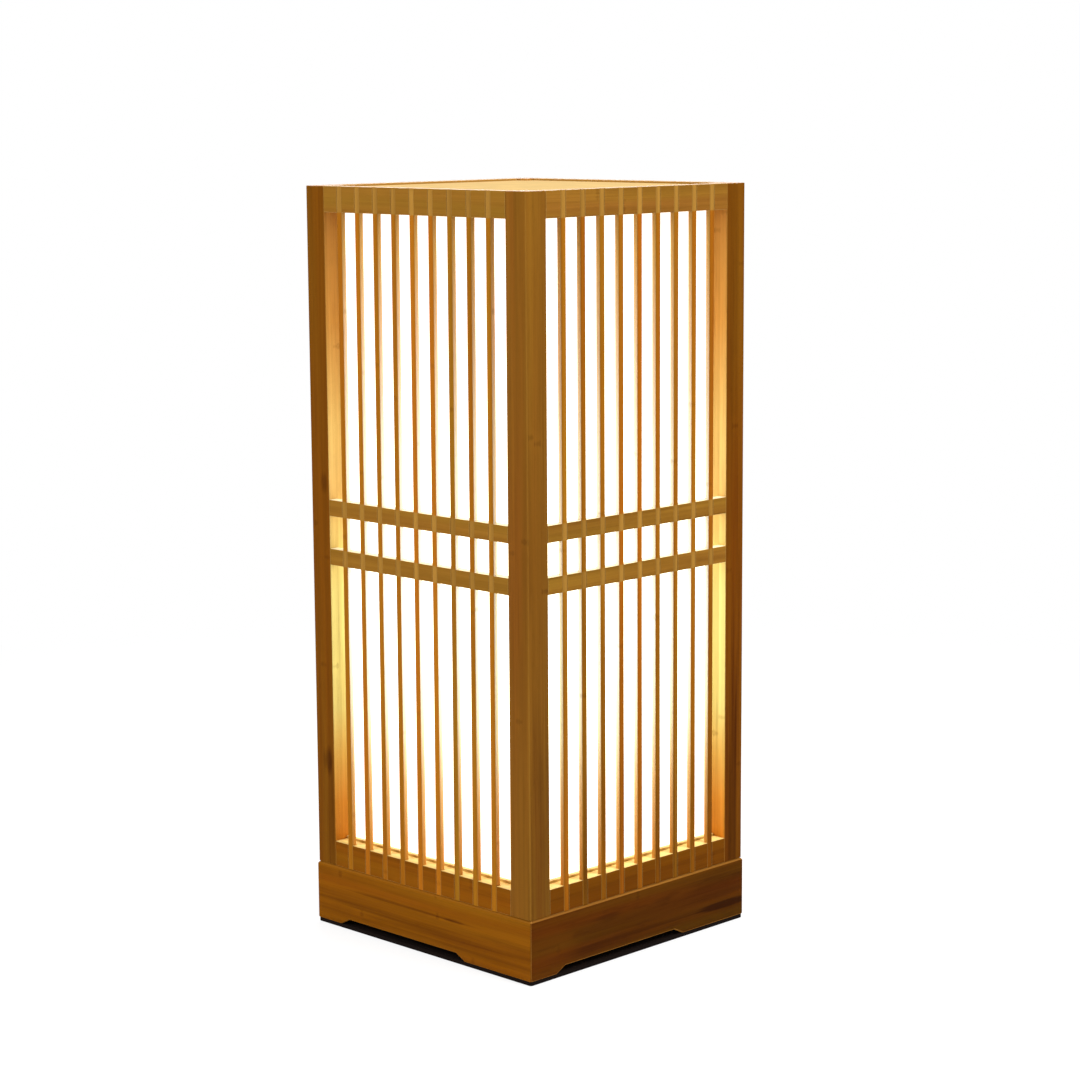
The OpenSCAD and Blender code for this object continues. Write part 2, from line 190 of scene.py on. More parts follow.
class Web:
    """A node tree that is built by calls in place of clicks."""

    def __init__(self, tree: bpy.types.NodeTree) -> None:
        """Empties the tree of a material, a world or a Geometry Nodes group and takes it over."""
        self.tree = tree
        tree.nodes.clear()

    def node(
        self,
        kind: str,
        settings: dict[str, Any] | None = None,
        feeds: dict[str | int, Feed] | None = None,
        out: str | int = 0,
    ) -> Socket:
        """Adds a node.

        Args:
            kind: Blender's type name of the node.
            settings: Attributes of the node, set before its sockets. "stops" fills a colour ramp
                with (place, colour) pairs.
            feeds: Values or sockets for the inputs, by name, identifier or number.
            out: The output that is handed back, in the same way.

        Returns:
            That output.
        """
        made = self.tree.nodes.new(kind)
        for name, value in (settings or {}).items():
            if name == "stops":
                self._fill_ramp(made.color_ramp, value)
            else:
                setattr(made, name, value)
        for key, value in (feeds or {}).items():
            self._feed(self._find(made.inputs, key), value)
        return Socket(self, self._find(made.outputs, out) if len(made.outputs) else None)

    def maths(self, operation: str, *values: Feed, clamped: bool = False) -> Socket:
        """Adds a Math node.

        Args:
            operation: Blender's name of the operation.
            values: One to three values or sockets.
            clamped: Whether the result is held between 0 and 1.

        Returns:
            The result.
        """
        settings = {"operation": operation, "use_clamp": clamped}
        return self.node("ShaderNodeMath", settings, dict(enumerate(values)))

    def blend(self, factor: Feed, first: Feed, second: Feed, mode: str = "MIX") -> Socket:
        """Mixes two colours.

        Args:
            factor: How much of the second colour there is.
            first: Colour at 0.
            second: Colour at 1.
            mode: Blender's name of the blend type.

        Returns:
            The mixed colour.
        """
        return self.node(
            "ShaderNodeMix",
            {"data_type": "RGBA", "blend_type": mode},
            {"Factor_Float": factor, "A_Color": first, "B_Color": second},
            "Result_Color",
        )

    def ramp(self, factor: Socket, stops: Sequence[tuple[float, Colour]]) -> Socket:
        """The colour of a ramp's (place, colour) stops at a factor."""
        return self.node("ShaderNodeValToRGB", {"stops": stops}, {"Fac": factor})

    def vector(self, x: Feed, y: Feed, z: Feed) -> Socket:
        """Joins three numbers into a vector."""
        return self.node("ShaderNodeCombineXYZ", feeds={"X": x, "Y": y, "Z": z})

    def vectors(self, operation: str, *values: Feed, out: str | int = 0) -> Socket:
        """The result of a Vector Math node."""
        return self.node(
            "ShaderNodeVectorMath", {"operation": operation}, dict(enumerate(values)), out
        )

    def split(self, vector: Socket) -> list[Socket]:
        """Splits a vector into its three numbers."""
        outputs = self.node("ShaderNodeSeparateXYZ", feeds={"Vector": vector}).raw.node.outputs
        return [Socket(self, output) for output in outputs]

    def _feed(self, socket: bpy.types.NodeSocket, value: Feed) -> None:
        """Links a socket to an input, or sets the input's own value.

        Args:
            socket: The input.
            value: An output to link, or a value. Three numbers fill a colour with alpha 1.
        """
        if isinstance(value, Socket):
            self.tree.links.new(value.raw, socket)
        elif socket.type == "RGBA" and len(value) == 3:
            socket.default_value = (*value, 1.0)
        else:
            socket.default_value = value

    @staticmethod
    def _find(sockets: Sequence[bpy.types.NodeSocket], key: str | int) -> bpy.types.NodeSocket:
        """Finds a node's input or output by number, identifier or name."""
        if isinstance(key, int):
            return sockets[key]
        return next((each for each in sockets if each.identifier == key), None) or sockets[key]

    @staticmethod
    def _fill_ramp(ramp: bpy.types.ColorRamp, stops: Sequence[tuple[float, Colour]]) -> None:
        """Replaces a colour ramp's stops.

        Args:
            ramp: The ramp.
            stops: (place, colour) pairs, rising.
        """
        while len(ramp.elements) > 1:
            ramp.elements.remove(ramp.elements[-1])
        for number, (place, colour) in enumerate(stops):
            element = ramp.elements[0] if number == 0 else ramp.elements.new(place)
            element.position, element.color = place, (*colour, 1.0)


class Paint(Web):
    """The tree of one material, ending in a Principled shader."""

    def __init__(self, name: str) -> None:
        """Makes an empty material.

        Args:
            name: The material's name.
        """
        self.material = bpy.data.materials.new(name)
        self.material.use_nodes = True
        super().__init__(self.material.node_tree)

    def place(self) -> Socket:
        """Position on the piece in the CAD's frame, in metres."""
        return self.node("ShaderNodeTexCoord", out="Object")

    def attribute(self, name: str, out: str = "Fac") -> Socket:
        """An attribute of the piece's mesh."""
        return self.node("ShaderNodeAttribute", {"attribute_name": name}, out=out)

    def scaled(self, axes: Sequence[Feed], scales: Sequence[float], shift: float = 0.0) -> Socket:
        """Three numbers times their scales as a vector, with shift added to the first."""
        x, y, z = (axis * scale for axis, scale in zip(axes, scales, strict=True))
        return self.vector(x + shift if shift else x, y, z)

    def noise(
        self,
        axes: Sequence[Feed],
        scales: Sequence[float],
        detail: float = 2.0,
        roughness: float = 0.5,
        shift: float = 0.0,
    ) -> Socket:
        """Soft noise, about 0.3 to 0.7.

        Args:
            axes: Three places, in metres.
            scales: Lumps for each metre along the three.
            detail: Octaves of finer lumps.
            roughness: How much each octave has of the one before.
            shift: What is added to the first axis, in lumps.

        Returns:
            The noise.
        """
        vector = self.scaled(axes, scales, shift)
        return self.node(
            "ShaderNodeTexNoise",
            feeds={"Vector": vector, "Scale": 1.0, "Detail": detail, "Roughness": roughness},
        )

    def height(self, low: float, high: float) -> Socket:
        """The height over the floor, as 0 at low and 1 at high, both in millimetres."""
        return ((self.split(self.place())[2] - low * MM) / ((high - low) * MM)).clamp()

    def by_height(self, levels: Levels, scale: float = 1.0) -> Socket:
        """A colour that changes with the height over the floor.

        Args:
            levels: (height in millimetres, colour) pairs, rising.
            scale: What the colours are divided by, to bring them under 1.

        Returns:
            The colour.
        """
        low, high = levels[0][0], levels[-1][0]
        return self.ramp(self.height(low, high), [
            ((at - low) / (high - low), tuple(part / scale for part in colour))
            for at, colour in levels
        ])

    def bump(self, height: Socket, strength: float, depth: float) -> Socket:
        """Normal of a surface with this height, depth millimetres for each unit."""
        feeds = {"Strength": strength, "Distance": depth * MM, "Height": height}
        return self.node("ShaderNodeBump", feeds=feeds)

    def close(self, **feeds: Feed) -> bpy.types.Material:
        """Adds the Principled shader and the output.

        Args:
            feeds: The shader's inputs, with _ for a space in their names.

        Returns:
            The finished material.
        """
        named = {key.replace("_", " "): value for key, value in feeds.items()}
        shader = self.node("ShaderNodeBsdfPrincipled", feeds=named)
        self.node("ShaderNodeOutputMaterial", feeds={"Surface": shader})
        return self.material


class Recipe(Web):
    """A Geometry Nodes tree with named inputs, which becomes a plain mesh."""

    SOCKETS = {
        float: "NodeSocketFloat",
        int: "NodeSocketInt",
        bpy.types.Material: "NodeSocketMaterial",
    }

    def __init__(self, name: str, values: dict[str, Any]) -> None:
        """Makes a tree and its inputs.

        Args:
            name: The tree's name.
            values: Each input's name and the value that it gets.
        """
        super().__init__(bpy.data.node_groups.new(name, "GeometryNodeTree"))
        self.values = values
        self.identifiers: dict[str, str] = {}
        add = self.tree.interface.new_socket
        add("Geometry", in_out="OUTPUT", socket_type="NodeSocketGeometry")
        for key, value in values.items():
            kind = next(kind for kind in self.SOCKETS if isinstance(value, kind))
            item = add(key, in_out="INPUT", socket_type=self.SOCKETS[kind])
            self.identifiers[key] = item.identifier
        self.inputs = self.tree.nodes.new("NodeGroupInput")

    def __getitem__(self, name: str) -> Socket:
        """The named input, as a socket."""
        return Socket(self, self.inputs.outputs[name])

    def moved(self, geometry: Socket, **feeds: Feed) -> Socket:
        """Geometry with Translation, Rotation or Scale applied."""
        return self.node("GeometryNodeTransform", feeds={"Geometry": geometry, **feeds})

    def raised(self, geometry: Socket, height: Feed) -> Socket:
        """Geometry moved up."""
        return self.moved(geometry, Translation=self.vector(0.0, 0.0, height))

    def joined(self, *parts: Socket) -> Socket:
        """Joins several geometries.

        Args:
            parts: The geometries.

        Returns:
            All of them as one.
        """
        made = self.node("GeometryNodeJoinGeometry")
        for part in parts:
            self.tree.links.new(part.raw, made.raw.node.inputs[0])
        return made

    def serve(self, geometry: Socket, name: str) -> bpy.types.Object:
        """Ends the tree, evaluates it and keeps the result as a plain mesh.

        Args:
            geometry: What the tree has built. Its instances are made real here.
            name: Name of the new object.

        Returns:
            The object, at the origin and with no modifier.
        """
        real = self.node("GeometryNodeRealizeInstances", feeds={"Geometry": geometry})
        feeds = {"Geometry": real, "Material": self["Material"]}
        dressed = self.node("GeometryNodeSetMaterial", feeds=feeds)
        self.node("NodeGroupOutput", feeds={"Geometry": dressed})
        piece = bpy.data.objects.new(name, bpy.data.meshes.new(name))
        bpy.context.scene.collection.objects.link(piece)
        modifier = piece.modifiers.new(name, "NODES")
        modifier.node_group = self.tree
        for key, value in self.values.items():
            modifier[self.identifiers[key]] = value
        bpy.context.view_layer.update()
        graph = bpy.context.evaluated_depsgraph_get()
        mesh = bpy.data.meshes.new_from_object(piece.evaluated_get(graph))
        piece.modifiers.remove(modifier)
        piece.data = mesh
        mesh.name = name
        form = bmesh.new()
        form.from_mesh(mesh)
        bmesh.ops.recalc_face_normals(form, faces=form.faces)
        form.to_mesh(mesh)
        form.free()
        return piece


# ---------------------------------------------------------------------------------------------
# Finishes
# ---------------------------------------------------------------------------------------------


class Finish:
    """A material that is made once and then shared by its pieces."""

    _made: dict[Any, bpy.types.Material] = {}

    def build(self) -> bpy.types.Material:
        """Makes the material."""
        raise NotImplementedError

    def material(self) -> bpy.types.Material:
        """The material, made at its first use."""
        if self not in self._made:
            self._made[self] = self.build()
        return self._made[self]

    def dress(self, piece: bpy.types.Object) -> None:
        """Gives the material to all of a piece."""
        piece.data.materials.clear()
        piece.data.materials.append(self.material())


@dataclass(frozen=True)
class Mark:
    """A darker or lighter place in a board. Some are the wood's own, such as a knot or a glue
    line;
    many are painted shade and painted light, darker where a face gets less light and lighter where
    it gets more.

    Attributes:
        centre: Its middle.
        reach: Half its size along X, Y and Z.
        shift: How much lighter it is, below 0 for a dark one.
    """

    centre: tuple[float, float, float]
    reach: tuple[float, float, float]
    shift: float


@dataclass(frozen=True)
class Bamboo(Finish):
    """Laminated bamboo under a thin satin lacquer, stained on its outer faces, with painted glow
    and painted light on the others.

    Attributes:
        name: The material's name.
        shade: Colour of the stained outer faces.
        golden: Colour of the sticks and streaks that took the stain lightly.
        russet: Colour of those that took it red.
        bare: Colour of worn edges, and painted light on faces that don't look out of the lamp,
            unless lit gives them painted glow.
        strip: Width and depth of the laminated strips.
        contrast: How far strips and streaks differ.
        stain: How strong the dark smudges are, from 0 to 1.
        smudge: Size of a smudge across and along the stick.
        marks: Places that differ from the rest of the board.
        satin: Roughness of the wood under the lacquer.
        lacquer: Weight of the lacquer's coat.
        gloss: What is added to it on upward faces, where the lacquer pools.
        lit: (height, colour) pairs, rising: painted glow of the sheets on the faces that don't
            look out of the lamp.
        backed: (low, high) heights between which rails back the stick.
        thin: Colour of the outer faces there, lighter than in front of the glowing sheets: painted
            light.
    """

    name: str
    shade: Colour
    golden: Colour
    russet: Colour
    bare: Colour
    strip: tuple[float, float]
    contrast: float
    stain: float
    smudge: tuple[float, float] = (3.0, 50.0)
    marks: tuple[Mark, ...] = ()
    satin: float = 0.50
    lacquer: float = 0.06
    gloss: float = 0.25
    lit: Levels = ()
    backed: tuple[tuple[float, float], ...] = ()
    thin: Colour = (0.400, 0.198, 0.033)

    def marked(self, paint: Paint, wander: Socket) -> Socket | float:
        """How much lighter a point is for the marks that it lies in.

        Args:
            paint: The material's tree.
            wander: Noise round 0 that frays the marks' outlines.

        Returns:
            The sum of the marks' shifts.
        """
        total: Socket | float = 0.0
        for mark in self.marks:
            away = paint.vectors("SUBTRACT", paint.place(), [part * MM for part in mark.centre])
            share = paint.vectors("DIVIDE", away, [part * MM for part in mark.reach])
            far = paint.vectors("LENGTH", share, out="Value")
            total = (far + wander).rise(1.25, 0.35) * mark.shift + total
        return total

    def rail_backed(self, paint: Paint) -> Socket | float:
        """Finds the heights where rails back the stick.

        Args:
            paint: The material's tree.

        Returns:
            1 there, falling to 0 within half a millimetre beyond.
        """
        height = paint.split(paint.place())[2]
        total: Socket | float = 0.0
        for low, high in self.backed:
            over = height.rise((low - 0.5) * MM, (low + 0.5) * MM)
            total = height.rise((high + 0.5) * MM, (high - 0.5) * MM) * over + total
        return total

    def tint(self, level: float, warmth: float) -> Colour:
        """The shade made darker by level, with green and blue further behind by warmth."""
        red, green, blue = self.shade
        return (red * level, green * level * (1 - warmth), blue * level * (1 - 2 * warmth))

    def build(self) -> bpy.types.Material:
        """Makes the material from the mesh attributes that lay_grain gives.

        Returns:
            The material.
        """
        paint = Paint(self.name)
        u, v, w = paint.split(paint.attribute("grain", "Vector"))
        tone, end, bare, worn, ledge = (
            paint.attribute(name) for name in ("tone", "end", "bare", "worn", "ledge")
        )

        # Laminated strips, each with its own tone, and the seams between them
        width, depth = (part * MM for part in self.strip)
        cell_u, cell_v = u / width, v / depth
        number = cell_u.floor() * 3.17 + cell_v.floor() * 7.31 + tone * 11.0
        pick = paint.node(
            "ShaderNodeTexWhiteNoise", {"noise_dimensions": "1D"}, {"W": number}, "Value"
        )
        edge = paint.maths(
            "MAXIMUM",
            abs(cell_u.fraction() - 0.5) * width,
            abs(cell_v.fraction() - 0.5) * depth,
        )
        seam = edge.rise(0.5 * min(width, depth) - 0.00030, 0.5 * min(width, depth) - 0.00004)

        # Fibres, streaks, dashes and smudges along the culm, and its knuckles
        run = w + pick * 1.9
        fibre = paint.noise((u, v, run), (2400, 2400, 22), 3.0, 0.62)
        streak = paint.noise((u, v, run), (560, 560, 9), 2.0, 0.55)
        broad = paint.noise((u, v, w), (190, 190, 7))
        hue = paint.noise((u, v, w), (120, 120, 5), 1.0, shift=9.0)
        dash = paint.noise((u, v, run), (3600, 3600, 190), 1.0).rise(0.60, 0.72)
        across, along = (1 / (part * MM) for part in self.smudge)
        smear = paint.noise((u, v, run), (across, across, along), 2.0, 0.6, 4.0)
        cycle = abs((run / KNUCKLES).fraction() - 0.5) * KNUCKLES
        apart = cycle + (streak - 0.5) * 0.004
        knuckle, halo = abs(apart).rise(0.0016, 0.0002), abs(apart).rise(0.0080, 0.0010)

        # Marks, many of them painted shade and painted light, stay off the faces that take the
        # painted glow
        marked = self.marked(paint, (streak - 0.5) * 1.3 + (broad - 0.5) * 1.6)
        level = (
            (pick - 0.5) * (0.20 * self.contrast)
            + (fibre - 0.5) * (0.36 * self.contrast)
            + (streak - 0.5) * (0.44 * self.contrast)
            + (broad - 0.5) * (0.55 * self.contrast)
            + tone * 0.12 - dash * 0.07 - seam * 0.07 - knuckle * 0.15 + halo * 0.04
            + (marked * (1.0 - bare) if self.lit and self.marks else marked)
            + 0.5
        )
        lean = (hue - 0.5) * 1.5 + tone * 0.36 + 0.5
        stained = paint.ramp(
            lean.clamp(), [(0.12, self.golden), (0.5, self.shade), (0.88, self.russet)]
        )
        # Painted light: where rails back a slat, its outer faces are lighter than in front of the
        # glowing sheets
        outer = paint.blend(self.rail_backed(paint), stained, self.thin) if self.backed else stained
        # Painted glow and painted light: faces that don't look out of the lamp take the lit
        # colours by height, or else the pale colour
        base = paint.blend(bare, outer, paint.by_height(self.lit) if self.lit else self.bare)
        factor = paint.ramp(level.clamp(), [
            (0.0, (0.36, 0.30, 0.24)), (0.32, (0.78, 0.76, 0.72)),
            (0.5, (0.99, 0.99, 0.99)), (1.0, (1.50, 1.52, 1.60)),
        ])
        face = paint.blend(1.0, base, factor, "MULTIPLY")
        smudged = paint.blend(smear.rise(0.54, 0.74) * self.stain, face, self.tint(0.40, 0.22))
        rubbed = worn * (streak * 0.7 + fibre * 0.9 - 0.1).clamp()
        edged = paint.blend(rubbed * 0.55, smudged, self.bare)

        # Sawn ends show the culm's pores
        pore = paint.node(
            "ShaderNodeTexVoronoi",
            {"voronoi_dimensions": "2D"},
            {"Vector": paint.scaled((u, v, 0.0), (1500, 1500, 1)), "Scale": 1.0,
             "Randomness": 0.85},
            "Distance",
        ).rise(0.36, 0.20)
        cut = paint.blend(pore, self.tint(0.86, 0.02), self.tint(0.42, 0.16))
        height = fibre * 0.5 + streak * 0.25 - dash * 0.35 - seam * 0.6 + knuckle * 0.6
        relief = (height * (1.0 - end) - pore * end * 0.8) * (1.0 - ledge * 0.7)
        rough = self.satin + (fibre - 0.5) * 0.16 + dash * 0.08 + end * 0.14 - worn * 0.06
        return paint.close(
            Base_Color=paint.blend(end * (1.0 - ledge * 0.6), edged, cut),
            Roughness=rough.clamp(),
            Specular_IOR_Level=0.0,
            Coat_Weight=((ledge * self.gloss + self.lacquer) * (fibre + 0.5)).clamp(),
            Coat_Roughness=0.28,
            Normal=paint.bump(relief, 0.5, 0.10),
        )


@dataclass(frozen=True)
class LitSheet(Finish):
    """Milky plastic sheet with long fibres in it, glowing from the bulb behind it.

    Attributes:
        name: The material's name.
        milk: Colour of the sheet itself.
        strength: Brightness that the levels are brought under.
        levels: (height, colour of the glow there) pairs, rising.
        fleck: How far the fibres dim the glow.
        shine: Specular level.
    """

    name: str
    milk: Colour
    strength: float
    levels: Levels
    fleck: float = 0.10
    shine: float = 0.1

    def build(self) -> bpy.types.Material:
        """Makes the material.

        Returns:
            The material.
        """
        paint = Paint(self.name)
        x, y, z = paint.split(paint.place())
        glow = paint.by_height(self.levels, self.strength)
        slant = (x + y) * 900 + z * 130
        thread = paint.noise((slant, x - y, z), (1.0, 900, 60), 3.0, 0.6)
        cloud = paint.noise((x, y, z), (55, 55, 55))
        mark = (thread.rise(0.54, 0.66) * 0.5 + cloud.rise(0.35, 0.65) * 0.5).clamp()
        return paint.close(
            Base_Color=paint.blend(mark * 0.5, self.milk, [0.84 * part for part in self.milk]),
            Roughness=(0.44 + mark * 0.18).clamp(),
            Specular_IOR_Level=self.shine,
            Emission_Color=paint.blend(mark * self.fleck, glow, (0.0, 0.0, 0.0)),
            Emission_Strength=self.strength,
            Normal=paint.bump(thread + cloud * 0.5, 0.35, 0.10),
        )


@dataclass(frozen=True)
class Moulded(Finish):
    """Moulded plastic, rubber, foam or unglazed ceramic with a fine skin.

    Attributes:
        name: The material's name.
        shade: Its colour.
        roughness: Middle roughness.
        lump: Size of the skin's lumps.
        depth: Depth of the skin's bump.
        mottle: How far the colour varies.
        cells: Whether the skin is of open cells, as foam is.
        coat: Weight of a clear gloss over it.
        shine: Specular level.
    """

    name: str
    shade: Colour
    roughness: float
    lump: float
    depth: float = 0.02
    mottle: float = 0.08
    cells: bool = False
    coat: float = 0.0
    shine: float = 0.4

    def build(self) -> bpy.types.Material:
        """Makes the material.

        Returns:
            The material.
        """
        paint = Paint(self.name)
        axes = paint.split(paint.place())
        cloud = paint.noise(axes, (60, 60, 60), 3.0, 0.55)
        fine = [1 / (self.lump * MM)] * 3
        if self.cells:
            feeds = {"Vector": paint.scaled(axes, fine), "Scale": 1.0}
            pit = paint.node("ShaderNodeTexVoronoi", feeds=feeds, out="Distance").rise(0.1, 0.6)
        else:
            pit = paint.noise(axes, fine)
        shift = ((cloud - 0.5) * 1.6 + (pit - 0.5) * 0.5 + 0.5).clamp()
        dim = tuple(part * (1 - self.mottle) for part in self.shade)
        lit = tuple(min(1.0, part * (1 + self.mottle)) for part in self.shade)
        return paint.close(
            Base_Color=paint.blend(shift, dim, lit),
            Roughness=(self.roughness + (cloud - 0.5) * 0.2 + (pit - 0.5) * 0.06).clamp(),
            Specular_IOR_Level=self.shine,
            Coat_Weight=self.coat,
            Coat_Roughness=0.12,
            Normal=paint.bump(pit, 0.6, self.depth),
        )


@dataclass(frozen=True)
class Plated(Finish):
    """Turned or pressed metal with tool marks round its upright axis and dull patches.

    Attributes:
        name: The material's name.
        shade: Colour of the clean metal.
        dull: Colour of the tarnish.
        roughness: Roughness of the clean metal.
        marks: Tool marks for each metre of height.
    """

    name: str
    shade: Colour
    dull: Colour
    roughness: float = 0.28
    marks: float = 9000.0

    def build(self) -> bpy.types.Material:
        """Makes the material.

        Returns:
            The material.
        """
        paint = Paint(self.name)
        axes = paint.split(paint.place())
        tooled = paint.noise(axes, (90, 90, self.marks), 2.0, 0.6)
        grime = paint.noise(axes, (210, 210, 210), 4.0, 0.6)
        patch = grime.rise(0.46, 0.72)
        return paint.close(
            Base_Color=paint.blend(patch * 0.7, self.shade, self.dull),
            Metallic=1.0,
            Roughness=(self.roughness + patch * 0.22 + (tooled - 0.5) * 0.18).clamp(),
            Normal=paint.bump(tooled + grime * 0.4, 0.4, 0.02),
        )


@dataclass(frozen=True)
class Opal(Finish):
    """Opal globe of a lit bulb, with a dimmer and warmer glow and paler milk towards its collar;
    the darker milk at the crown is painted shade.

    Attributes:
        name: The material's name.
        foot: Height of the globe's foot.
        crown: Height of the globe's top.
        strength: Brightness at the crown.
    """

    name: str
    foot: float
    crown: float
    strength: float

    def build(self) -> bpy.types.Material:
        """Makes the material.

        Returns:
            The material.
        """
        paint = Paint(self.name)
        height = paint.height(self.foot, self.crown)
        haze = paint.noise(paint.split(paint.place()), (240, 240, 240), 3.0)
        skirt = paint.blend(haze, (0.56, 0.54, 0.49), (0.62, 0.60, 0.55))
        return paint.close(
            # Painted shade: the milk darkens towards the crown, where the sheets light the globe
            # most
            Base_Color=paint.blend(height, skirt, (0.34, 0.32, 0.27)),
            Roughness=(0.30 + (haze - 0.5) * 0.16).clamp(),
            Emission_Color=paint.ramp(height, [
                (0.0, (0.20, 0.10, 0.03)), (0.12, (0.50, 0.30, 0.12)),
                (0.42, (0.90, 0.68, 0.36)), (1.0, (1.0, 0.80, 0.46)),
            ]),
            Emission_Strength=self.strength,
            Normal=paint.bump(haze, 0.2, 0.02),
        )


POST_BAMBOO = Bamboo(
    "post_bamboo", (0.243, 0.095, 0.0092), (0.256, 0.109, 0.0105), (0.243, 0.083, 0.0087),
    (0.33, 0.155, 0.022), (4.3, 4.3), 0.75, 0.16,
    # Painted shade and painted light: the near post's right face darker towards the bottom,
    # lighter at the top
    marks=(Mark((75, -66, 40), (5, 16, 80), -0.14), Mark((75, -66, 360), (5, 16, 60), 0.06)),
    # Painted glow of the sheets on the posts' inner faces, brightest by the bulb
    lit=(
        (37, (0.54, 0.20, 0.020)), (62, (0.63, 0.27, 0.032)), (85, (0.65, 0.40, 0.090)),
        (110, (0.64, 0.52, 0.185)), (170, (0.65, 0.53, 0.195)), (215, (0.63, 0.41, 0.145)),
        (250, (0.64, 0.43, 0.140)), (300, (0.57, 0.29, 0.058)), (350, (0.48, 0.22, 0.040)),
    ),
)
SIDE_POST_BAMBOO = replace(
    POST_BAMBOO, name="side_post_bamboo", shade=(0.202, 0.064, 0.0028),
    golden=(0.213, 0.078, 0.0042), russet=(0.204, 0.055, 0.0025),
    marks=(
        # The first mark is painted shade: the right post's outer face darker towards the bottom
        Mark((75, 68, 40), (9, 9, 120), -0.28), Mark((-62, -69, 48.5), (2.5, 3.5, 1.6), -0.4),
        Mark((-62, -69, 60), (5, 7, 36), -0.16), Mark((-65, -75, 222), (3, 3, 5), -0.2),
        Mark((-66, -75, 84), (3, 4, 7), -0.3),
    ),
)
RAIL_BAMBOO = Bamboo(
    "rail_bamboo", (0.328, 0.145, 0.0175), (0.320, 0.155, 0.017), (0.328, 0.131, 0.019),
    (0.55, 0.38, 0.13), (6.2, 7.2), 0.7, 0.10,
    marks=(
        # The marks on the right face's top and middle rails are painted shade; the front top rail
        # is made lighter
        Mark((0, -75, 358), (100, 9, 14), 0.06), Mark((75, 0, 358), (9, 100, 14), -0.08),
        Mark((75, 0, 198), (9, 100, 24), -0.12),
    ),
    # Painted glow of the sheets on the rails' inner and upward faces
    lit=(
        (60, (0.72, 0.50, 0.20)), (180, (0.85, 0.72, 0.50)), (215, (0.85, 0.72, 0.50)),
        (350, (0.50, 0.26, 0.06)), (365, (0.42, 0.21, 0.04)),
    ),
)
FOOT_RAIL_BAMBOO = replace(
    RAIL_BAMBOO, name="foot_rail_bamboo", shade=(0.262, 0.080, 0.0016),
    golden=(0.258, 0.090, 0.0024), russet=(0.262, 0.073, 0.0014),
    # Painted glow of the sheets on the foot rails' ledges
    marks=(), lit=((31, (0.70, 0.48, 0.14)), (44, (0.82, 0.60, 0.20))),
)
# Painted shade: a darker copy of the foot rail's finish for the right face, which gets less light
SHADED_RIGHT_FOOT_RAIL_BAMBOO = replace(
    FOOT_RAIL_BAMBOO, name="shaded_right_foot_rail_bamboo", shade=(0.164, 0.050, 0.0008),
    golden=(0.164, 0.057, 0.0012), russet=(0.164, 0.046, 0.0008),
)
SLAT_BAMBOO = Bamboo(
    "slat_bamboo", (0.362, 0.120, 0.0060), (0.378, 0.152, 0.0100), (0.388, 0.110, 0.0060),
    (0.44, 0.21, 0.04), (3.2, 2.6), 0.6, 0.08,
    marks=(
        # Painted shade: the right face's slats darker towards the bottom
        Mark((75, 0, 40), (9, 300, 50), -0.13), Mark((75, 0, 30), (9, 300, 20), -0.09),
        Mark((75, 0, 108), (9, 300, 70), -0.14),
    ),
    lacquer=0.05,
    # Painted glow of the sheets on the slats' sides, brightest by the bulb
    lit=(
        (31, (0.50, 0.23, 0.035)), (52, (0.60, 0.29, 0.065)), (80, (0.72, 0.46, 0.19)),
        (115, (0.85, 0.74, 0.56)), (150, (0.88, 0.82, 0.76)), (190, (0.88, 0.82, 0.76)),
        (240, (0.84, 0.74, 0.60)), (300, (0.72, 0.51, 0.29)), (335, (0.62, 0.38, 0.12)),
        (365, (0.50, 0.28, 0.07)),
    ),
    backed=((182.1, 190.1), (206.1, 214.1), (352.6, 366.0)),
)
# Painted light: a lighter copy of the slats' finish for the front face, whose slats the glow
# brightens
LIT_FRONT_SLAT_BAMBOO = replace(
    SLAT_BAMBOO, name="lit_front_slat_bamboo", shade=(0.398, 0.146, 0.0078),
    golden=(0.416, 0.185, 0.0130), russet=(0.427, 0.134, 0.0078), marks=(),
)
# Painted glow: the beads by the sheets' edges have pale colours, palest on their tops, for the
# sheets' light on them
GLOW_LIT_BEAD_BAMBOO = Bamboo(
    "glow_lit_bead_bamboo", (0.60, 0.38, 0.100), (0.64, 0.44, 0.12), (0.58, 0.34, 0.08),
    (0.85, 0.62, 0.26), (6.0, 6.0), 0.7, 0.10,
)
BOARD_BAMBOO = Bamboo(
    "board_bamboo", (0.420, 0.225, 0.070), (0.46, 0.27, 0.09), (0.42, 0.20, 0.06),
    (0.46, 0.26, 0.085), (9.3, 3.05), 1.0, 0.25, satin=0.55, gloss=0.1,
)
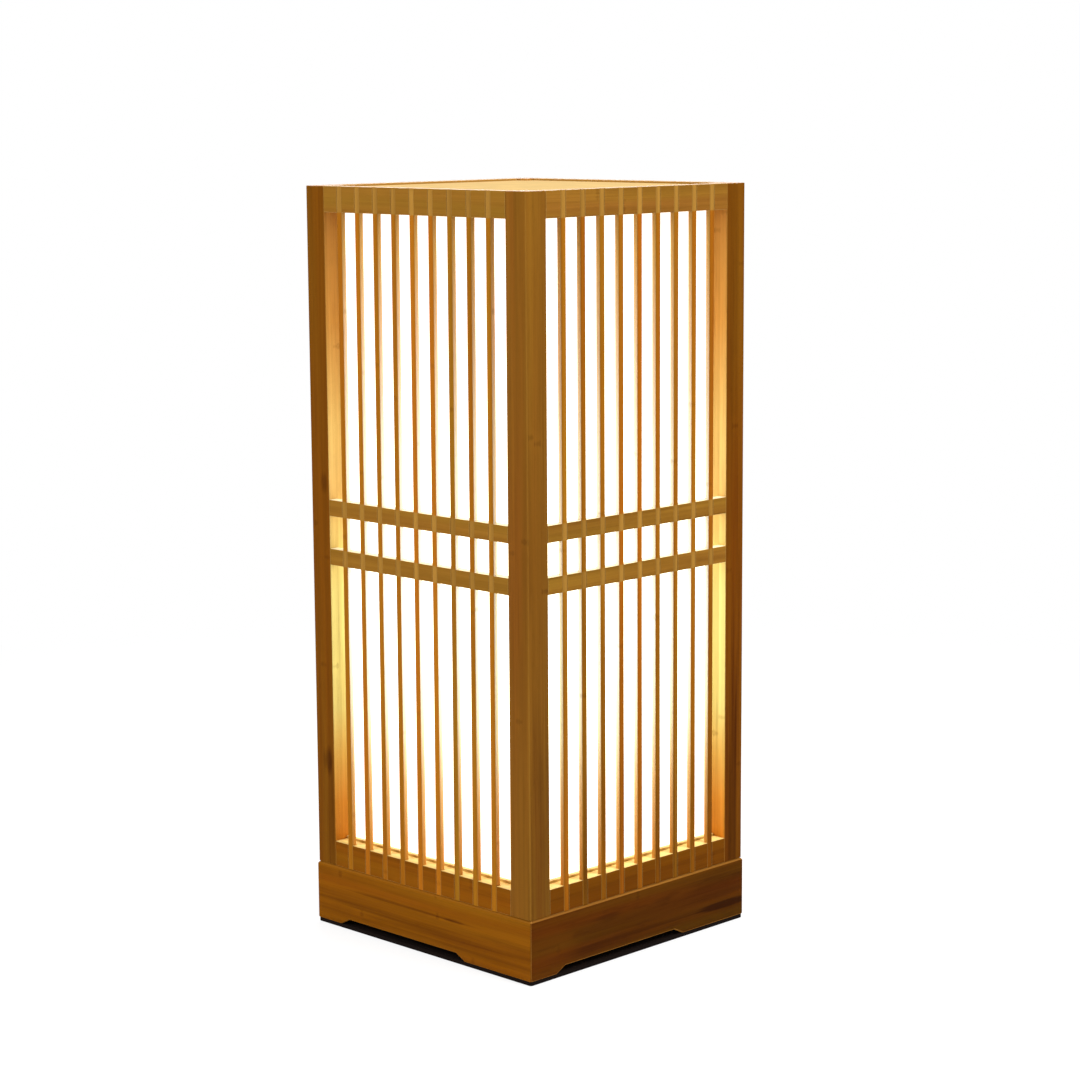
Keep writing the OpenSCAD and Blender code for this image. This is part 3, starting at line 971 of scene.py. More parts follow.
# Each board's fourth colour, on its top and inner faces and worn edges, is paler than its stain:
# painted light from above, brightest on the right board's top edge
PLINTH_BAMBOO = {
    Side.FRONT: Bamboo(
        "front_plinth_bamboo", (0.264, 0.084, 0.0016), (0.270, 0.098, 0.0030),
        (0.258, 0.073, 0.0018), (0.30, 0.12, 0.014), (14.5, 3.4), 0.75, 0.16, (2.5, 30.0), (
            Mark((-18, -75, 20.6), (62, 9, 0.9), -0.30),
            Mark((24, -75, 20.3), (8, 9, 1.0), -0.22),
            Mark((0, -75, 13.4), (90, 9, 2.1), -0.13),
            Mark((0, -75, 5.0), (95, 9, 1.7), 0.14),
            Mark((0, -75, 27.5), (95, 9, 6.0), 0.05),
        ),
    ),
    Side.RIGHT: Bamboo(
        "right_plinth_bamboo", (0.108, 0.0290, 0.0005), (0.100, 0.0355, 0.0008),
        (0.120, 0.0270, 0.0005), (0.60, 0.26, 0.045), (14.5, 4.8), 0.7, 0.25, (3.0, 16.0), (
            Mark((75, -22, 22.0), (9, 10, 2.2), -0.17),
            Mark((75, 15, 21.8), (9, 9, 2.0), -0.15),
            Mark((75, -25, 9.8), (9, 55, 2.3), -0.17),
            Mark((75, 62, 9.6), (9, 18, 3.0), -0.40),
            Mark((75, 58, 22.0), (9, 24, 9.0), -0.10),
            Mark((75, -20, 4.0), (9, 70, 1.7), 0.26),
            Mark((75, -62, 13.0), (9, 20, 12.0), 0.24),
        ),
    ),
    Side.BACK: Bamboo(
        "back_plinth_bamboo", (0.180, 0.060, 0.0035), (0.195, 0.076, 0.0050),
        (0.180, 0.053, 0.0030), (0.36, 0.15, 0.022), (14.5, 4.1), 0.8, 0.20, (2.8, 24.0), (
            Mark((22, 75, 12.0), (56, 9, 1.2), -0.24),
            Mark((-34, 75, 23.5), (14, 9, 2.0), -0.18),
            Mark((0, 75, 5.0), (95, 9, 1.7), 0.15),
        ),
    ),
    Side.LEFT: Bamboo(
        "left_plinth_bamboo", (0.205, 0.070, 0.0038), (0.220, 0.088, 0.0055),
        (0.205, 0.062, 0.0035), (0.33, 0.14, 0.018), (14.5, 3.6), 0.8, 0.18, (2.6, 28.0), (
            Mark((-75, 14, 17.6), (9, 60, 1.0), -0.26),
            Mark((-75, -44, 24.0), (9, 12, 1.8), -0.18),
            Mark((-75, 0, 5.0), (9, 95, 1.7), 0.15),
        ),
    ),
}
SIDE_SHEET = LitSheet("side_sheet", (0.93, 0.90, 0.84), 2.3, (
    (37, (2.0, 1.7, 1.2)), (46, (1.9, 1.6, 1.2)), (52, (1.15, 1.05, 1.0)),
    (80, (1.35, 1.15, 1.0)), (110, (1.9, 1.9, 1.5)), (150, (2.1, 2.2, 1.8)),
    (185, (2.1, 2.1, 1.7)), (240, (1.8, 1.7, 1.4)), (270, (1.5, 1.35, 1.15)),
    (300, (1.25, 1.05, 1.0)), (330, (1.1, 1.02, 1.0)), (363, (1.05, 1.0, 1.0)),
))
TOP_SHEET = LitSheet(
    "top_sheet", (0.53, 0.39, 0.18), 1.0, ((360, (0.20, 0.09, 0.005)), (366, (0.20, 0.09, 0.005))),
    0.5, 0.0,
)
FOOT_FOAM = Moulded("foot_foam", (0.0060, 0.0030, 0.0020), 0.9, 0.6, 0.12, 0.25, True, shine=0.08)
GROMMET_RUBBER = Moulded("grommet_rubber", (0.018, 0.018, 0.018), 0.55, 0.3)
HOLDER_PLASTIC = Moulded("holder_plastic", (0.70, 0.68, 0.63), 0.34, 0.9, coat=0.15)
HOLDER_CERAMIC = Moulded("holder_ceramic", (0.80, 0.78, 0.72), 0.62, 0.35, 0.04)
BULB_PLASTIC = Moulded("bulb_plastic", (0.78, 0.78, 0.76), 0.30, 0.8, coat=0.2)
CAP_GLASS = Moulded("cap_glass", (0.012, 0.012, 0.016), 0.16, 0.5, coat=0.6)
ZINC_STEEL = Plated("zinc_steel", (0.56, 0.57, 0.59), (0.36, 0.35, 0.33))
BRASS = Plated("pressed_brass", (0.72, 0.50, 0.19), (0.42, 0.27, 0.10), 0.22)
CAP_NICKEL = Plated("cap_nickel", (0.66, 0.64, 0.60), (0.44, 0.42, 0.38), 0.20, 4000.0)
PLATE_ALUMINIUM = Plated("plate_aluminium", (0.80, 0.81, 0.82), (0.62, 0.62, 0.62), 0.35)
TIP_SOLDER = Plated("tip_solder", (0.52, 0.52, 0.53), (0.30, 0.30, 0.31), 0.40, 1500.0)


# ---------------------------------------------------------------------------------------------
# Meshes
# ---------------------------------------------------------------------------------------------


def stand(name: str, form: bmesh.types.BMesh, sharp: float = SHARP) -> bpy.types.Object:
    """Makes an object of a built form.

    Args:
        name: Name of the piece.
        form: The form, in metres. It is freed here.
        sharp: Angle between faces from which their edge stays sharp, in degrees.

    Returns:
        The object, at the origin.
    """
    mesh = bpy.data.meshes.new(name)
    for face in form.faces:
        face.smooth = True
    form.to_mesh(mesh)
    form.free()
    mesh.set_sharp_from_angle(angle=math.radians(sharp))
    piece = bpy.data.objects.new(name, mesh)
    bpy.context.scene.collection.objects.link(piece)
    return piece


def eased_copy(node: str, name: str, ease: float, sharp: float = SHARP) -> bpy.types.Object:
    """Copies a CAD node's form with its corners eased, as a maker sands them.

    Args:
        node: The CAD node.
        name: Name of the new piece.
        ease: Width taken off each outer edge.
        sharp: Angle from which an edge counts as one, in degrees.

    Returns:
        The new piece.
    """
    form = bmesh.new()
    form.from_mesh(bpy.data.objects[node].data)
    bmesh.ops.remove_doubles(form, verts=form.verts, dist=WELD)
    bmesh.ops.dissolve_limit(form, angle_limit=FLAT, verts=form.verts, edges=form.edges)
    edges = [
        edge for edge in form.edges
        if edge.is_manifold and edge.is_convex and edge.calc_face_angle(0.0) > math.radians(sharp)
    ]
    bmesh.ops.bevel(
        form, geom=edges, offset=ease * MM, offset_type="OFFSET", segments=2, profile=0.5,
        affect="EDGES", clamp_overlap=False, material=-1,
    )
    bmesh.ops.remove_doubles(form, verts=form.verts, dist=WELD)
    return stand(name, form, sharp)


def eased_outline(outline: Outline, ease: float) -> Outline:
    """Rounds the corners of a closed outline.

    Args:
        outline: (radius, height) points, in order round the section.
        ease: Length cut from each side of a corner, where the sides allow it.

    Returns:
        The points with three in place of each true corner.
    """
    eased: Outline = []
    for number, point in enumerate(outline):
        here = Vector(point)
        back = Vector(outline[number - 1]) - here
        on = Vector(outline[(number + 1) % len(outline)]) - here
        tight = point[0] <= 0 or min(back.length, on.length) < 3 * ease
        if tight or math.degrees(back.angle(on)) > SMOOTH:
            eased.append(point)
            continue
        start, stop = here + back.normalized() * ease, here + on.normalized() * ease
        eased += [tuple(start), tuple((start + stop) * 0.25 + here * 0.5), tuple(stop)]
    return eased


def turned(
    outline: Outline, columns: int = 96, wave: Wave | None = None, closed: bool = True
) -> bmesh.types.BMesh:
    """Turns a section round the upright axis.

    Args:
        outline: (radius, height) points. A radius of 0 is a pole.
        columns: Number of steps round the axis.
        wave: Change of radius for a height and a turn from 0 to 1, for threads.
        closed: Whether the last point joins the first.

    Returns:
        The form, in metres.
    """
    form = bmesh.new()
    rings: list[list[bmesh.types.BMVert]] = []
    for radius, height in outline:
        ring = []
        for step in range(columns if radius > 0 else 1):
            turn = step / columns
            grown = radius + (wave(height, turn) if wave and radius > 0 else 0.0)
            angle = 2 * math.pi * turn
            ring.append(form.verts.new(
                (grown * math.cos(angle) * MM, grown * math.sin(angle) * MM, height * MM)
            ))
        rings.append(ring)
    for number in range(len(rings) if closed else len(rings) - 1):
        low, high = rings[number], rings[(number + 1) % len(rings)]
        for step in range(columns):
            after = (step + 1) % columns
            around = [low[step % len(low)], low[after % len(low)],
                      high[after % len(high)], high[step % len(high)]]
            unique = list(dict.fromkeys(around))
            if len(unique) > 2:
                form.faces.new(unique)
    bmesh.ops.recalc_face_normals(form, faces=form.faces)
    return form


def arc(
    centre: tuple[float, float], radius: float, start: float, stop: float, steps: int
) -> Outline:
    """Points along an arc of a section.

    Args:
        centre: (radius, height) of the arc's centre.
        radius: The arc's own radius.
        start: First angle in degrees, 0 pointing outwards and 90 up.
        stop: Last angle in degrees.
        steps: Number of steps between them.

    Returns:
        The points, both ends among them.
    """
    angles = [math.radians(start + (stop - start) * step / steps) for step in range(steps + 1)]
    return [
        (max(0.0, centre[0] + radius * math.cos(angle)), centre[1] + radius * math.sin(angle))
        for angle in angles
    ]


def ladder(radius: float, low: float, high: float, steps: int) -> Outline:
    """Points straight up a wall, both ends among them."""
    return [(radius, low + (high - low) * step / steps) for step in range(steps + 1)]


def rolled(phase: float) -> float:
    """Share of a rolled thread's depth that is gone at a phase in turns, 0 on its crest."""
    return 0.5 * (1 - math.cos(2 * math.pi * phase))


def cut(phase: float) -> float:
    """Share of a cut thread's depth that is gone at a phase in turns, 0 on its crest."""
    return abs(2 * (phase % 1.0) - 1)


def thread(
    profile: Callable[[float], float], pitch: float, depth: float, low: float, high: float,
    fade: float,
) -> Wave:
    """Makes a screw thread.

    Args:
        profile: Share of the depth that is gone at a phase in turns.
        pitch: Its pitch.
        depth: Its depth.
        low: Height where it starts.
        high: Height where it ends.
        fade: Height over which it deepens at both ends.

    Returns:
        The change of radius for turned. What lies beyond low and high stays plain.
    """

    def wave(height: float, turn: float) -> float:
        """Change of radius at a height and a turn."""
        beside = max(0.0, min(height - low, high - height))
        return -depth * profile(height / pitch - turn) * min(1.0, beside / fade)

    return wave


def loose_parts(mesh: bpy.types.Mesh) -> list[list[int]]:
    """Groups a mesh's vertices by the separate solids that they belong to.

    Args:
        mesh: The mesh.

    Returns:
        Vertex numbers of each solid, in the order in which the solids first appear.
    """
    parent = list(range(len(mesh.vertices)))

    def root(number: int) -> int:
        """Finds the vertex that stands for a vertex's group.

        Args:
            number: The vertex.

        Returns:
            The one that stands for it.
        """
        while parent[number] != number:
            parent[number] = parent[parent[number]]
            number = parent[number]
        return number

    for edge in mesh.edges:
        first, second = (root(number) for number in edge.vertices)
        parent[max(first, second)] = min(first, second)
    groups: dict[int, list[int]] = {}
    for number in range(len(parent)):
        groups.setdefault(root(number), []).append(number)
    return list(groups.values())


def lay_grain(piece: bpy.types.Object, seed: int, spread: float = 1.0) -> None:
    """Gives each stick of a wooden piece its own grain along its longest side.

    The mesh gets the attributes that Bamboo reads. Of its points: grain, the place across, across
    and along the stick in metres, and tone, from -1 to 1. Of its faces: end, 1 on sawn ends; bare,
    1 where a face doesn't look out of the lamp, which Bamboo paints paler as painted glow and
    painted light; worn, 1 on eased edges; and ledge, 1 on upward faces.

    Args:
        piece: The piece.
        seed: Seed of the sticks' tones and of where in the culm they were cut.
        spread: How far the tones differ.
    """
    draw = random.Random(seed)
    mesh = piece.data
    count = len(mesh.vertices)
    places = [vertex.co.copy() for vertex in mesh.vertices]
    grain = [0.0] * (3 * count)
    tones, along, outward = [0.0] * count, [2] * count, [(0.0, 0.0)] * count
    for part in loose_parts(mesh):
        low, high = (
            [most(places[number][axis] for number in part) for axis in range(3)]
            for most in (min, max)
        )
        run = max(range(3), key=lambda axis: round(high[axis] - low[axis], 6))
        first, second = [axis for axis in range(3) if axis != run]
        offset, tone = draw.uniform(0, 3), draw.uniform(-1, 1) * spread
        middle = [(low[axis] + high[axis]) / 2 for axis in range(2)]
        away = tuple(float(part > OUTER) - float(part < -OUTER) for part in middle)
        for number in part:
            spot = places[number]
            grain[3 * number:3 * number + 3] = [
                spot[first] - low[first] + 1e-5, spot[second] - low[second] + 1e-5,
                spot[run] - low[run] + offset,
            ]
            tones[number], along[number], outward[number] = tone, run, away
    masks: dict[str, list[float]] = {"end": [], "bare": [], "worn": [], "ledge": []}
    for face in mesh.polygons:
        corner, normal = face.vertices[0], face.normal
        facing = max(normal[axis] * outward[corner][axis] for axis in range(2))
        masks["end"].append(float(abs(normal[along[corner]]) > ALONG))
        # 1 on faces that don't look out of the lamp, which Bamboo paints paler as painted glow and
        # painted light
        masks["bare"].append(float(facing < 0.5))
        masks["worn"].append(float(max(abs(part) for part in normal) < EASED))
        masks["ledge"].append(float(normal.z > ALONG))
    mesh.attributes.new("grain", "FLOAT_VECTOR", "POINT").data.foreach_set("vector", grain)
    mesh.attributes.new("tone", "FLOAT", "POINT").data.foreach_set("value", tones)
    for name, values in masks.items():
        mesh.attributes.new(name, "FLOAT", "FACE").data.foreach_set("value", values)


@dataclass
class Assembly:
    """A group of pieces on one body of the lamp.

    Attributes:
        body: Name of the CAD body that the pieces ride on.
    """

    body: str = "base"

    def settle(self, piece: bpy.types.Object, finish: Finish, slot: str, *nodes: str) -> None:
        """Dresses a new piece and lets it stand for its CAD nodes.

        Args:
            piece: The new piece.
            finish: Its finish.
            slot: The record's material slot; not used.
            nodes: The CAD nodes that it stands for.
        """
        finish.dress(piece)
        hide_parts(*nodes)
        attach(piece, self.body)
        LOG.info("%s: %d faces for %s", piece.name, len(piece.data.polygons), ", ".join(nodes))

    def ease(
        self, node: str, name: str, width: float, finish: Finish, slot: str,
        seed: int | None = None, spread: float = 1.0, sharp: float = SHARP,
    ) -> None:
        """Lets an eased copy of a CAD node stand for it.

        Args:
            node: The CAD node.
            name: Name of the new piece.
            width: Width taken off its edges.
            finish: Its finish.
            slot: The record's material slot.
            seed: Seed of the grain, on wood.
            spread: How far its sticks' tones differ, on wood.
            sharp: Angle from which an edge counts as one, in degrees.
        """
        piece = eased_copy(node, name, width, sharp)
        if seed is not None:
            lay_grain(piece, seed, spread)
        self.settle(piece, finish, slot, node)

    def turn(
        self, node: str, name: str, form: bmesh.types.BMesh, sharp: float, finish: Finish,
        slot: str,
    ) -> None:
        """Lets a turned form stand for a CAD node, with edges sharp from an angle in degrees."""
        self.settle(stand(name, form, sharp), finish, slot, node)

    def keep(self, node: str, finish: Finish, slot: str) -> None:
        """Gives a CAD node that stays its finish.

        Args:
            node: The CAD node.
            finish: Its finish.
            slot: The record's material slot; not used.
        """
        shown = bpy.data.objects[node]
        finish.dress(shown)
        LOG.info("%s: kept from the CAD", node)


# ---------------------------------------------------------------------------------------------
# The lamp
# ---------------------------------------------------------------------------------------------


@dataclass
class Plinth(Assembly):
    """Mitred boards round a base board, on a black foam sheet.

    Attributes:
        board_ease: Width taken off the boards' edges.
        soft_ease: Width taken off the edges of the pieces inside and below.
        board_top: Height of the base board's top.
        screw_at: Distance of the screws from the lamp's middle, along X and Y.
        screw_length: Length of a screw.
        shank: Radius of a screw's shank.
        head: Radius of a screw's head.
        head_height: Height of the countersunk head.
        recess: Width of the arms of the driver's cross.
    """

    board_ease: float = 0.5
    soft_ease: float = 0.3
    board_top: float = 31.0
    screw_at: float = 58.0
    screw_length: float = 18.0
    shank: float = 1.7
    head: float = 3.4
    head_height: float = 2.2
    recess: float = 0.9

    def build(self) -> None:
        """Builds the boards, what they hold, the screws, the foam sheet and the grommet."""
        for side in Side:
            self.ease(
                f"plinth_{side.word}", f"{side.word}_plinth_board", self.board_ease,
                PLINTH_BAMBOO[side], "bamboo_dark", 40 + side.value, 0.0,
            )
        inside = (("base_board", "bottom_board"), ("corner_blocks", "glue_blocks"),
                  ("locating_cleats", "lantern_cleats"))
        for seed, (node, name) in enumerate(inside, 51):
            self.ease(node, name, self.soft_ease, BOARD_BAMBOO, "bamboo_light", seed)
        self.screws()
        self.ease("base_sheet", "foam_foot", self.soft_ease, FOOT_FOAM, "black_foam")
        self.ease(
            "cable_grommet", "rubber_grommet", self.soft_ease, GROMMET_RUBBER, "black_rubber"
        )

    def screws(self) -> None:
        """Builds the four countersunk screws with their driver's crosses."""
        recipe = Recipe("plinth_screws", {
            "Spacing": 2 * self.screw_at * MM,
            "Top": self.board_top * MM,
            "Length": self.screw_length * MM,
            "Shank Radius": self.shank * MM,
            "Head Radius": self.head * MM,
            "Head Height": self.head_height * MM,
            "Recess": self.recess * MM,
            "Seed": 7,
            "Material": ZINC_STEEL.material(),
        })
        wide, deep, thin = recipe["Head Radius"] * 1.15, recipe["Head Height"], recipe["Recess"]
        ngon, core = {"fill_type": "NGON"}, recipe["Shank Radius"] * 0.98
        tip = recipe["Shank Radius"] * 1.8
        length = recipe["Length"] - deep - tip
        head = recipe.node("GeometryNodeMeshCone", ngon, {
            "Vertices": 48, "Radius Top": recipe["Head Radius"],
            "Radius Bottom": recipe["Shank Radius"], "Depth": deep,
        })
        # The second arm is a hair larger, so that no two faces of the cross lie in one plane
        cross = recipe.joined(*(
            recipe.raised(
                recipe.node("GeometryNodeMeshCube", feeds={"Size": recipe.vector(*size)}), deep
            )
            for size in ((wide, thin, deep * 1.3), (thin * 1.002, wide, deep * 1.302))
        ))
        driven = recipe.node(
            "GeometryNodeMeshBoolean", {"operation": "DIFFERENCE", "solver": "EXACT"},
            {"Mesh 1": head, "Mesh 2": cross},
        )
        shank = recipe.node("GeometryNodeMeshCylinder", ngon, {
            "Vertices": 24, "Radius": core, "Depth": length,
        })
        point = recipe.node("GeometryNodeMeshCone", ngon, {
            "Vertices": 24, "Radius Top": core,
            "Radius Bottom": recipe["Shank Radius"] * 0.12, "Depth": tip,
        })
        screw = recipe.joined(
            driven, recipe.raised(shank, length * -0.5), recipe.raised(point, length * -1.0 - tip)
        )
        corners = recipe.node("GeometryNodeMeshGrid", feeds={
            "Size X": recipe["Spacing"], "Size Y": recipe["Spacing"],
            "Vertices X": 2, "Vertices Y": 2,
        })
        spin = recipe.node(
            "FunctionNodeRandomValue", {"data_type": "FLOAT"},
            {"Min_001": 0.0, "Max_001": math.pi / 2, "Seed": recipe["Seed"]}, "Value_001",
        )
        placed = recipe.node("GeometryNodeInstanceOnPoints", feeds={
            "Points": recipe.raised(corners, recipe["Top"] - deep), "Instance": screw,
            "Rotation": recipe.vector(0.0, 0.0, spin),
        })
        piece = recipe.serve(placed, "cross_head_screws")
        self.settle(piece, ZINC_STEEL, "steel", "base_screws")


@dataclass
class Lampholder(Assembly):
    """Threaded stem, its nuts and washers, and the screw lampholder on it.

    Attributes:
        stem_radius: Outer radius of the stem.
        stem_bore: Radius of the stem's bore.
        stem_foot: Height of the stem's lower end.
        stem_top: Height of its upper end.
        stem_pitch: Pitch of the stem's thread.
        stem_thread: Depth of that thread.
        snug: Clearance between pieces that are screwed or pushed together.
        foot: Height of the holder's neck.
        neck: Radius of the neck.
        dome: Height where the domed shoulder starts, as high as its radius.
        seat: Height of the recess that takes the ceramic disc.
        sleeve: Height where the sleeve starts.
        lap: Height of the cap's rim inside the sleeve.
        top: Height of the sleeve's top.
        radius: Radius of the sleeve over its ribs.
        wall: Wall of the holder.
        rib: Radius of a rib's section.
        ribs: Number of ribs.
        first_rib: Height of the lowest rib over the sleeve's foot.
        rib_pitch: Distance between ribs.
        shell: Inner radius of the brass shell.
        shell_wall: Wall of the shell.
        shell_hole: Radius of the hole in its floor.
        shell_top: Height of the shell's top.
        shell_thread: Depth of its rolled thread, clear of the bulb's own.
        bulb_pitch: Pitch of the bulb's thread.
    """

    stem_radius: float = 5.0
    stem_bore: float = 3.4
    stem_foot: float = 18.0
    stem_top: float = 63.0
    stem_pitch: float = 1.0
    stem_thread: float = 0.55
    snug: float = 0.05
    foot: float = 55.0
    neck: float = 8.0
    dome: float = 64.0
    seat: float = 69.0
    sleeve: float = 74.0
    lap: float = 4.0
    top: float = 102.0
    radius: float = 20.0
    wall: float = 2.0
    rib: float = 0.7
    ribs: int = 4
    first_rib: float = 2.0
    rib_pitch: float = 3.0
    shell: float = 13.35
    shell_wall: float = 0.4
    shell_hole: float = 9.0
    shell_top: float = 99.3
    shell_thread: float = 0.24
    bulb_pitch: float = 3.62

    def build(self) -> None:
        """Builds the stem and the lampholder."""
        self.stem()
        self.holder()
        self.inside()

    def stem(self) -> None:
        """Builds the threaded stem and gives its nuts and washers their edges."""
        low, high = self.stem_foot, self.stem_top
        steps = round((high - low) / self.stem_pitch * 6)
        section = ladder(self.stem_radius, low, high, steps)
        section += [(self.stem_bore, high), (self.stem_bore, low)]
        wave = thread(cut, self.stem_pitch, self.stem_thread, low, high, self.stem_pitch)
        self.turn("stem", "threaded_stem", turned(section, 48, wave), 60, ZINC_STEEL, "steel")
        self.ease("stem_nuts", "hexagon_nuts", 0.4, ZINC_STEEL, "steel")
        self.ease("stem_washers", "flat_washers", 0.2, ZINC_STEEL, "steel")

    def holder(self) -> None:
        """Builds the holder's domed cap and its ribbed sleeve."""
        rim, dome = self.radius - self.wall, self.sleeve - self.dome
        bore, inner = self.stem_radius + self.snug, rim - self.wall
        cap = [
            (bore, self.foot), (self.neck, self.foot), (self.neck, self.dome),
            *arc((rim - dome, self.sleeve), dome, -88, 0, 16),
            (rim, self.sleeve + self.lap), (inner, self.sleeve + self.lap),
            (inner, self.seat), (self.stem_bore, self.seat),
            (self.stem_bore, self.stem_top + self.snug), (bore, self.stem_top + self.snug),
        ]
        form = turned(eased_outline(cap, 0.4))
        self.turn("holder_cap", "holder_dome", form, 30, HOLDER_PLASTIC, "holder_plastic")

        skin, mouth = self.radius - self.rib, self.shell + self.shell_wall + 0.3
        step, loose = self.sleeve + self.lap + 1 + self.snug, rim + self.snug
        wall: Outline = [(skin, self.sleeve)]
        for number in range(self.ribs):
            at = self.sleeve + self.first_rib + number * self.rib_pitch
            wall += arc((skin, at), self.rib, -90, 90, 8)
        wall += [
            (skin, self.top), (mouth, self.top), (mouth, self.top - self.wall),
            (inner, self.top - self.wall), (inner, step), (loose, step), (loose, self.sleeve),
        ]
        form = turned(eased_outline(wall, 0.45))
        self.turn("holder_sleeve", "ribbed_sleeve", form, 30, HOLDER_PLASTIC, "holder_plastic")

    def inside(self) -> None:
        """Builds the ceramic disc, the rolled brass shell and the centre contact."""
        self.ease("holder_insulator", "ceramic_disc", 0.3, HOLDER_CERAMIC, "ceramic")
        self.ease("holder_contact", "centre_contact", 0.12, BRASS, "brass")
        floor, outer = self.sleeve + self.shell_wall, self.shell + self.shell_wall
        steps = round((self.shell_top - floor) / self.bulb_pitch * 10)
        section = [
            (self.shell_hole, self.sleeve), (outer, self.sleeve),
            *ladder(outer, floor, self.shell_top, steps),
            *ladder(self.shell, self.shell_top, floor, steps),
            (self.shell_hole, floor),
        ]
        wave = thread(
            lambda phase: 1 - rolled(phase), self.bulb_pitch, self.shell_thread, floor,
            self.shell_top, 2.0,
        )
        self.turn("holder_shell", "brass_shell", turned(section, 72, wave), 50, BRASS, "brass")


@dataclass
class Bulb(Assembly):
    """Screw bulb with an opal globe.

    Attributes:
        body: The CAD body.
        tip: Height of the bulb's tip.
        cap_foot: Height where the metal cap starts.
        thread_foot: Height where its thread starts.
        cap_top: Height where the collar starts.
        cap: Radius of the cap over its thread.
        depth: Depth of the cap's thread.
        pitch: Pitch of that thread.
        collar: Radius of the collar where the globe starts.
        collar_top: Height of that edge.
        centre: Height of the globe's centre.
        globe: Radius of the globe.
        wall: Wall of the globe.
        glow: Brightness of the globe's top.
    """

    body: str = "bulb"
    tip: float = 75.3
    cap_foot: float = 79.3
    thread_foot: float = 82.3
    cap_top: float = 102.3
    cap: float = 13.0
    depth: float = 1.0
    pitch: float = 3.62
    collar: float = 22.4
    collar_top: float = 135.34
    centre: float = 155.3
    globe: float = 30.0
    wall: float = 1.2
    glow: float = 0.10

    def build(self) -> None:
        """Builds every piece of the bulb."""
        self.glass()
        self.housing()
        self.screw_cap()

    def glass(self) -> None:
        """Builds the opal globe and gives the diodes' plate its edges."""
        rim, inside = self.collar_top - self.centre, self.globe - self.wall
        low, low_in = (math.degrees(math.asin(rim / size)) for size in (self.globe, inside))
        section = arc((0.0, self.centre), self.globe, low, 90, 48)
        section += arc((0.0, self.centre), inside, 90, low_in, 44)
        form = turned(section)
        bmesh.ops.remove_doubles(form, verts=form.verts, dist=1e-7)
        opal = Opal("lit_opal", self.collar_top, self.centre + self.globe, self.glow)
        self.turn("bulb_globe", "opal_globe", form, 50, opal, "opal")
        self.ease("bulb_plate", "diode_plate", 0.2, PLATE_ALUMINIUM, "aluminium")

    def housing(self) -> None:
        """Builds the flared plastic collar with the fine groove under the globe."""
        foot, low, edge, high = self.cap + 1.2, self.cap_top, self.collar, self.collar_top
        start, stop = (foot + 0.8, low + 4), (edge - 0.3, high - 3)
        section: Outline = [
            (0.0, low), (foot, low), (foot + 0.35, low + 1.2), start,
            *(tuple(Vector(start).lerp(Vector(stop), step / 10)) for step in range(1, 11)),
            (edge - 0.75, high - 2.7), (edge - 0.75, high - 2.3), (edge - 0.1, high - 2),
            (edge, high - 1.7), (edge, high), (0.0, high),
        ]
        form = turned(section, closed=False)
        self.turn("bulb_collar", "bulb_housing", form, 28, BULB_PLASTIC, "bulb_plastic")

    def screw_cap(self) -> None:
        """Builds the rolled thread of the cap, its glass insulator and the soldered tip."""
        low, high = self.thread_foot, self.cap_top - 2
        steps = round((high - low) / self.pitch * 12)
        section: Outline = [
            (0.0, self.cap_foot), (self.cap - 3, self.cap_foot),
            *arc((self.cap - 3, low), 3.0, -90, 0, 8)[1:],
            *ladder(self.cap, low, high, steps)[1:],
            (self.cap + 0.6, self.cap_top - 1), (self.cap + 0.6, self.cap_top),
            (0.0, self.cap_top),
        ]
        wave = thread(rolled, self.pitch, self.depth, low, high, 1.2)
        form = turned(section, 96, wave, closed=False)
        self.turn("bulb_cap", "screw_cap", form, 50, CAP_NICKEL, "nickel")
        self.ease(
            "bulb_insulator", "glass_insulator", 0.15, CAP_GLASS, "black_glass", sharp=40
        )
        drop = (
            (0.0, 0.0), (1.6, 0.05), (2.9, 0.25), (4.0, 0.6), (4.6, 1.0), (4.6, 1.4), (0.0, 1.4)
        )
        form = turned([(radius, self.tip + up) for radius, up in drop], 48, closed=False)
        self.turn("bulb_tip", "soldered_tip", form, 40, TIP_SOLDER, "solder")


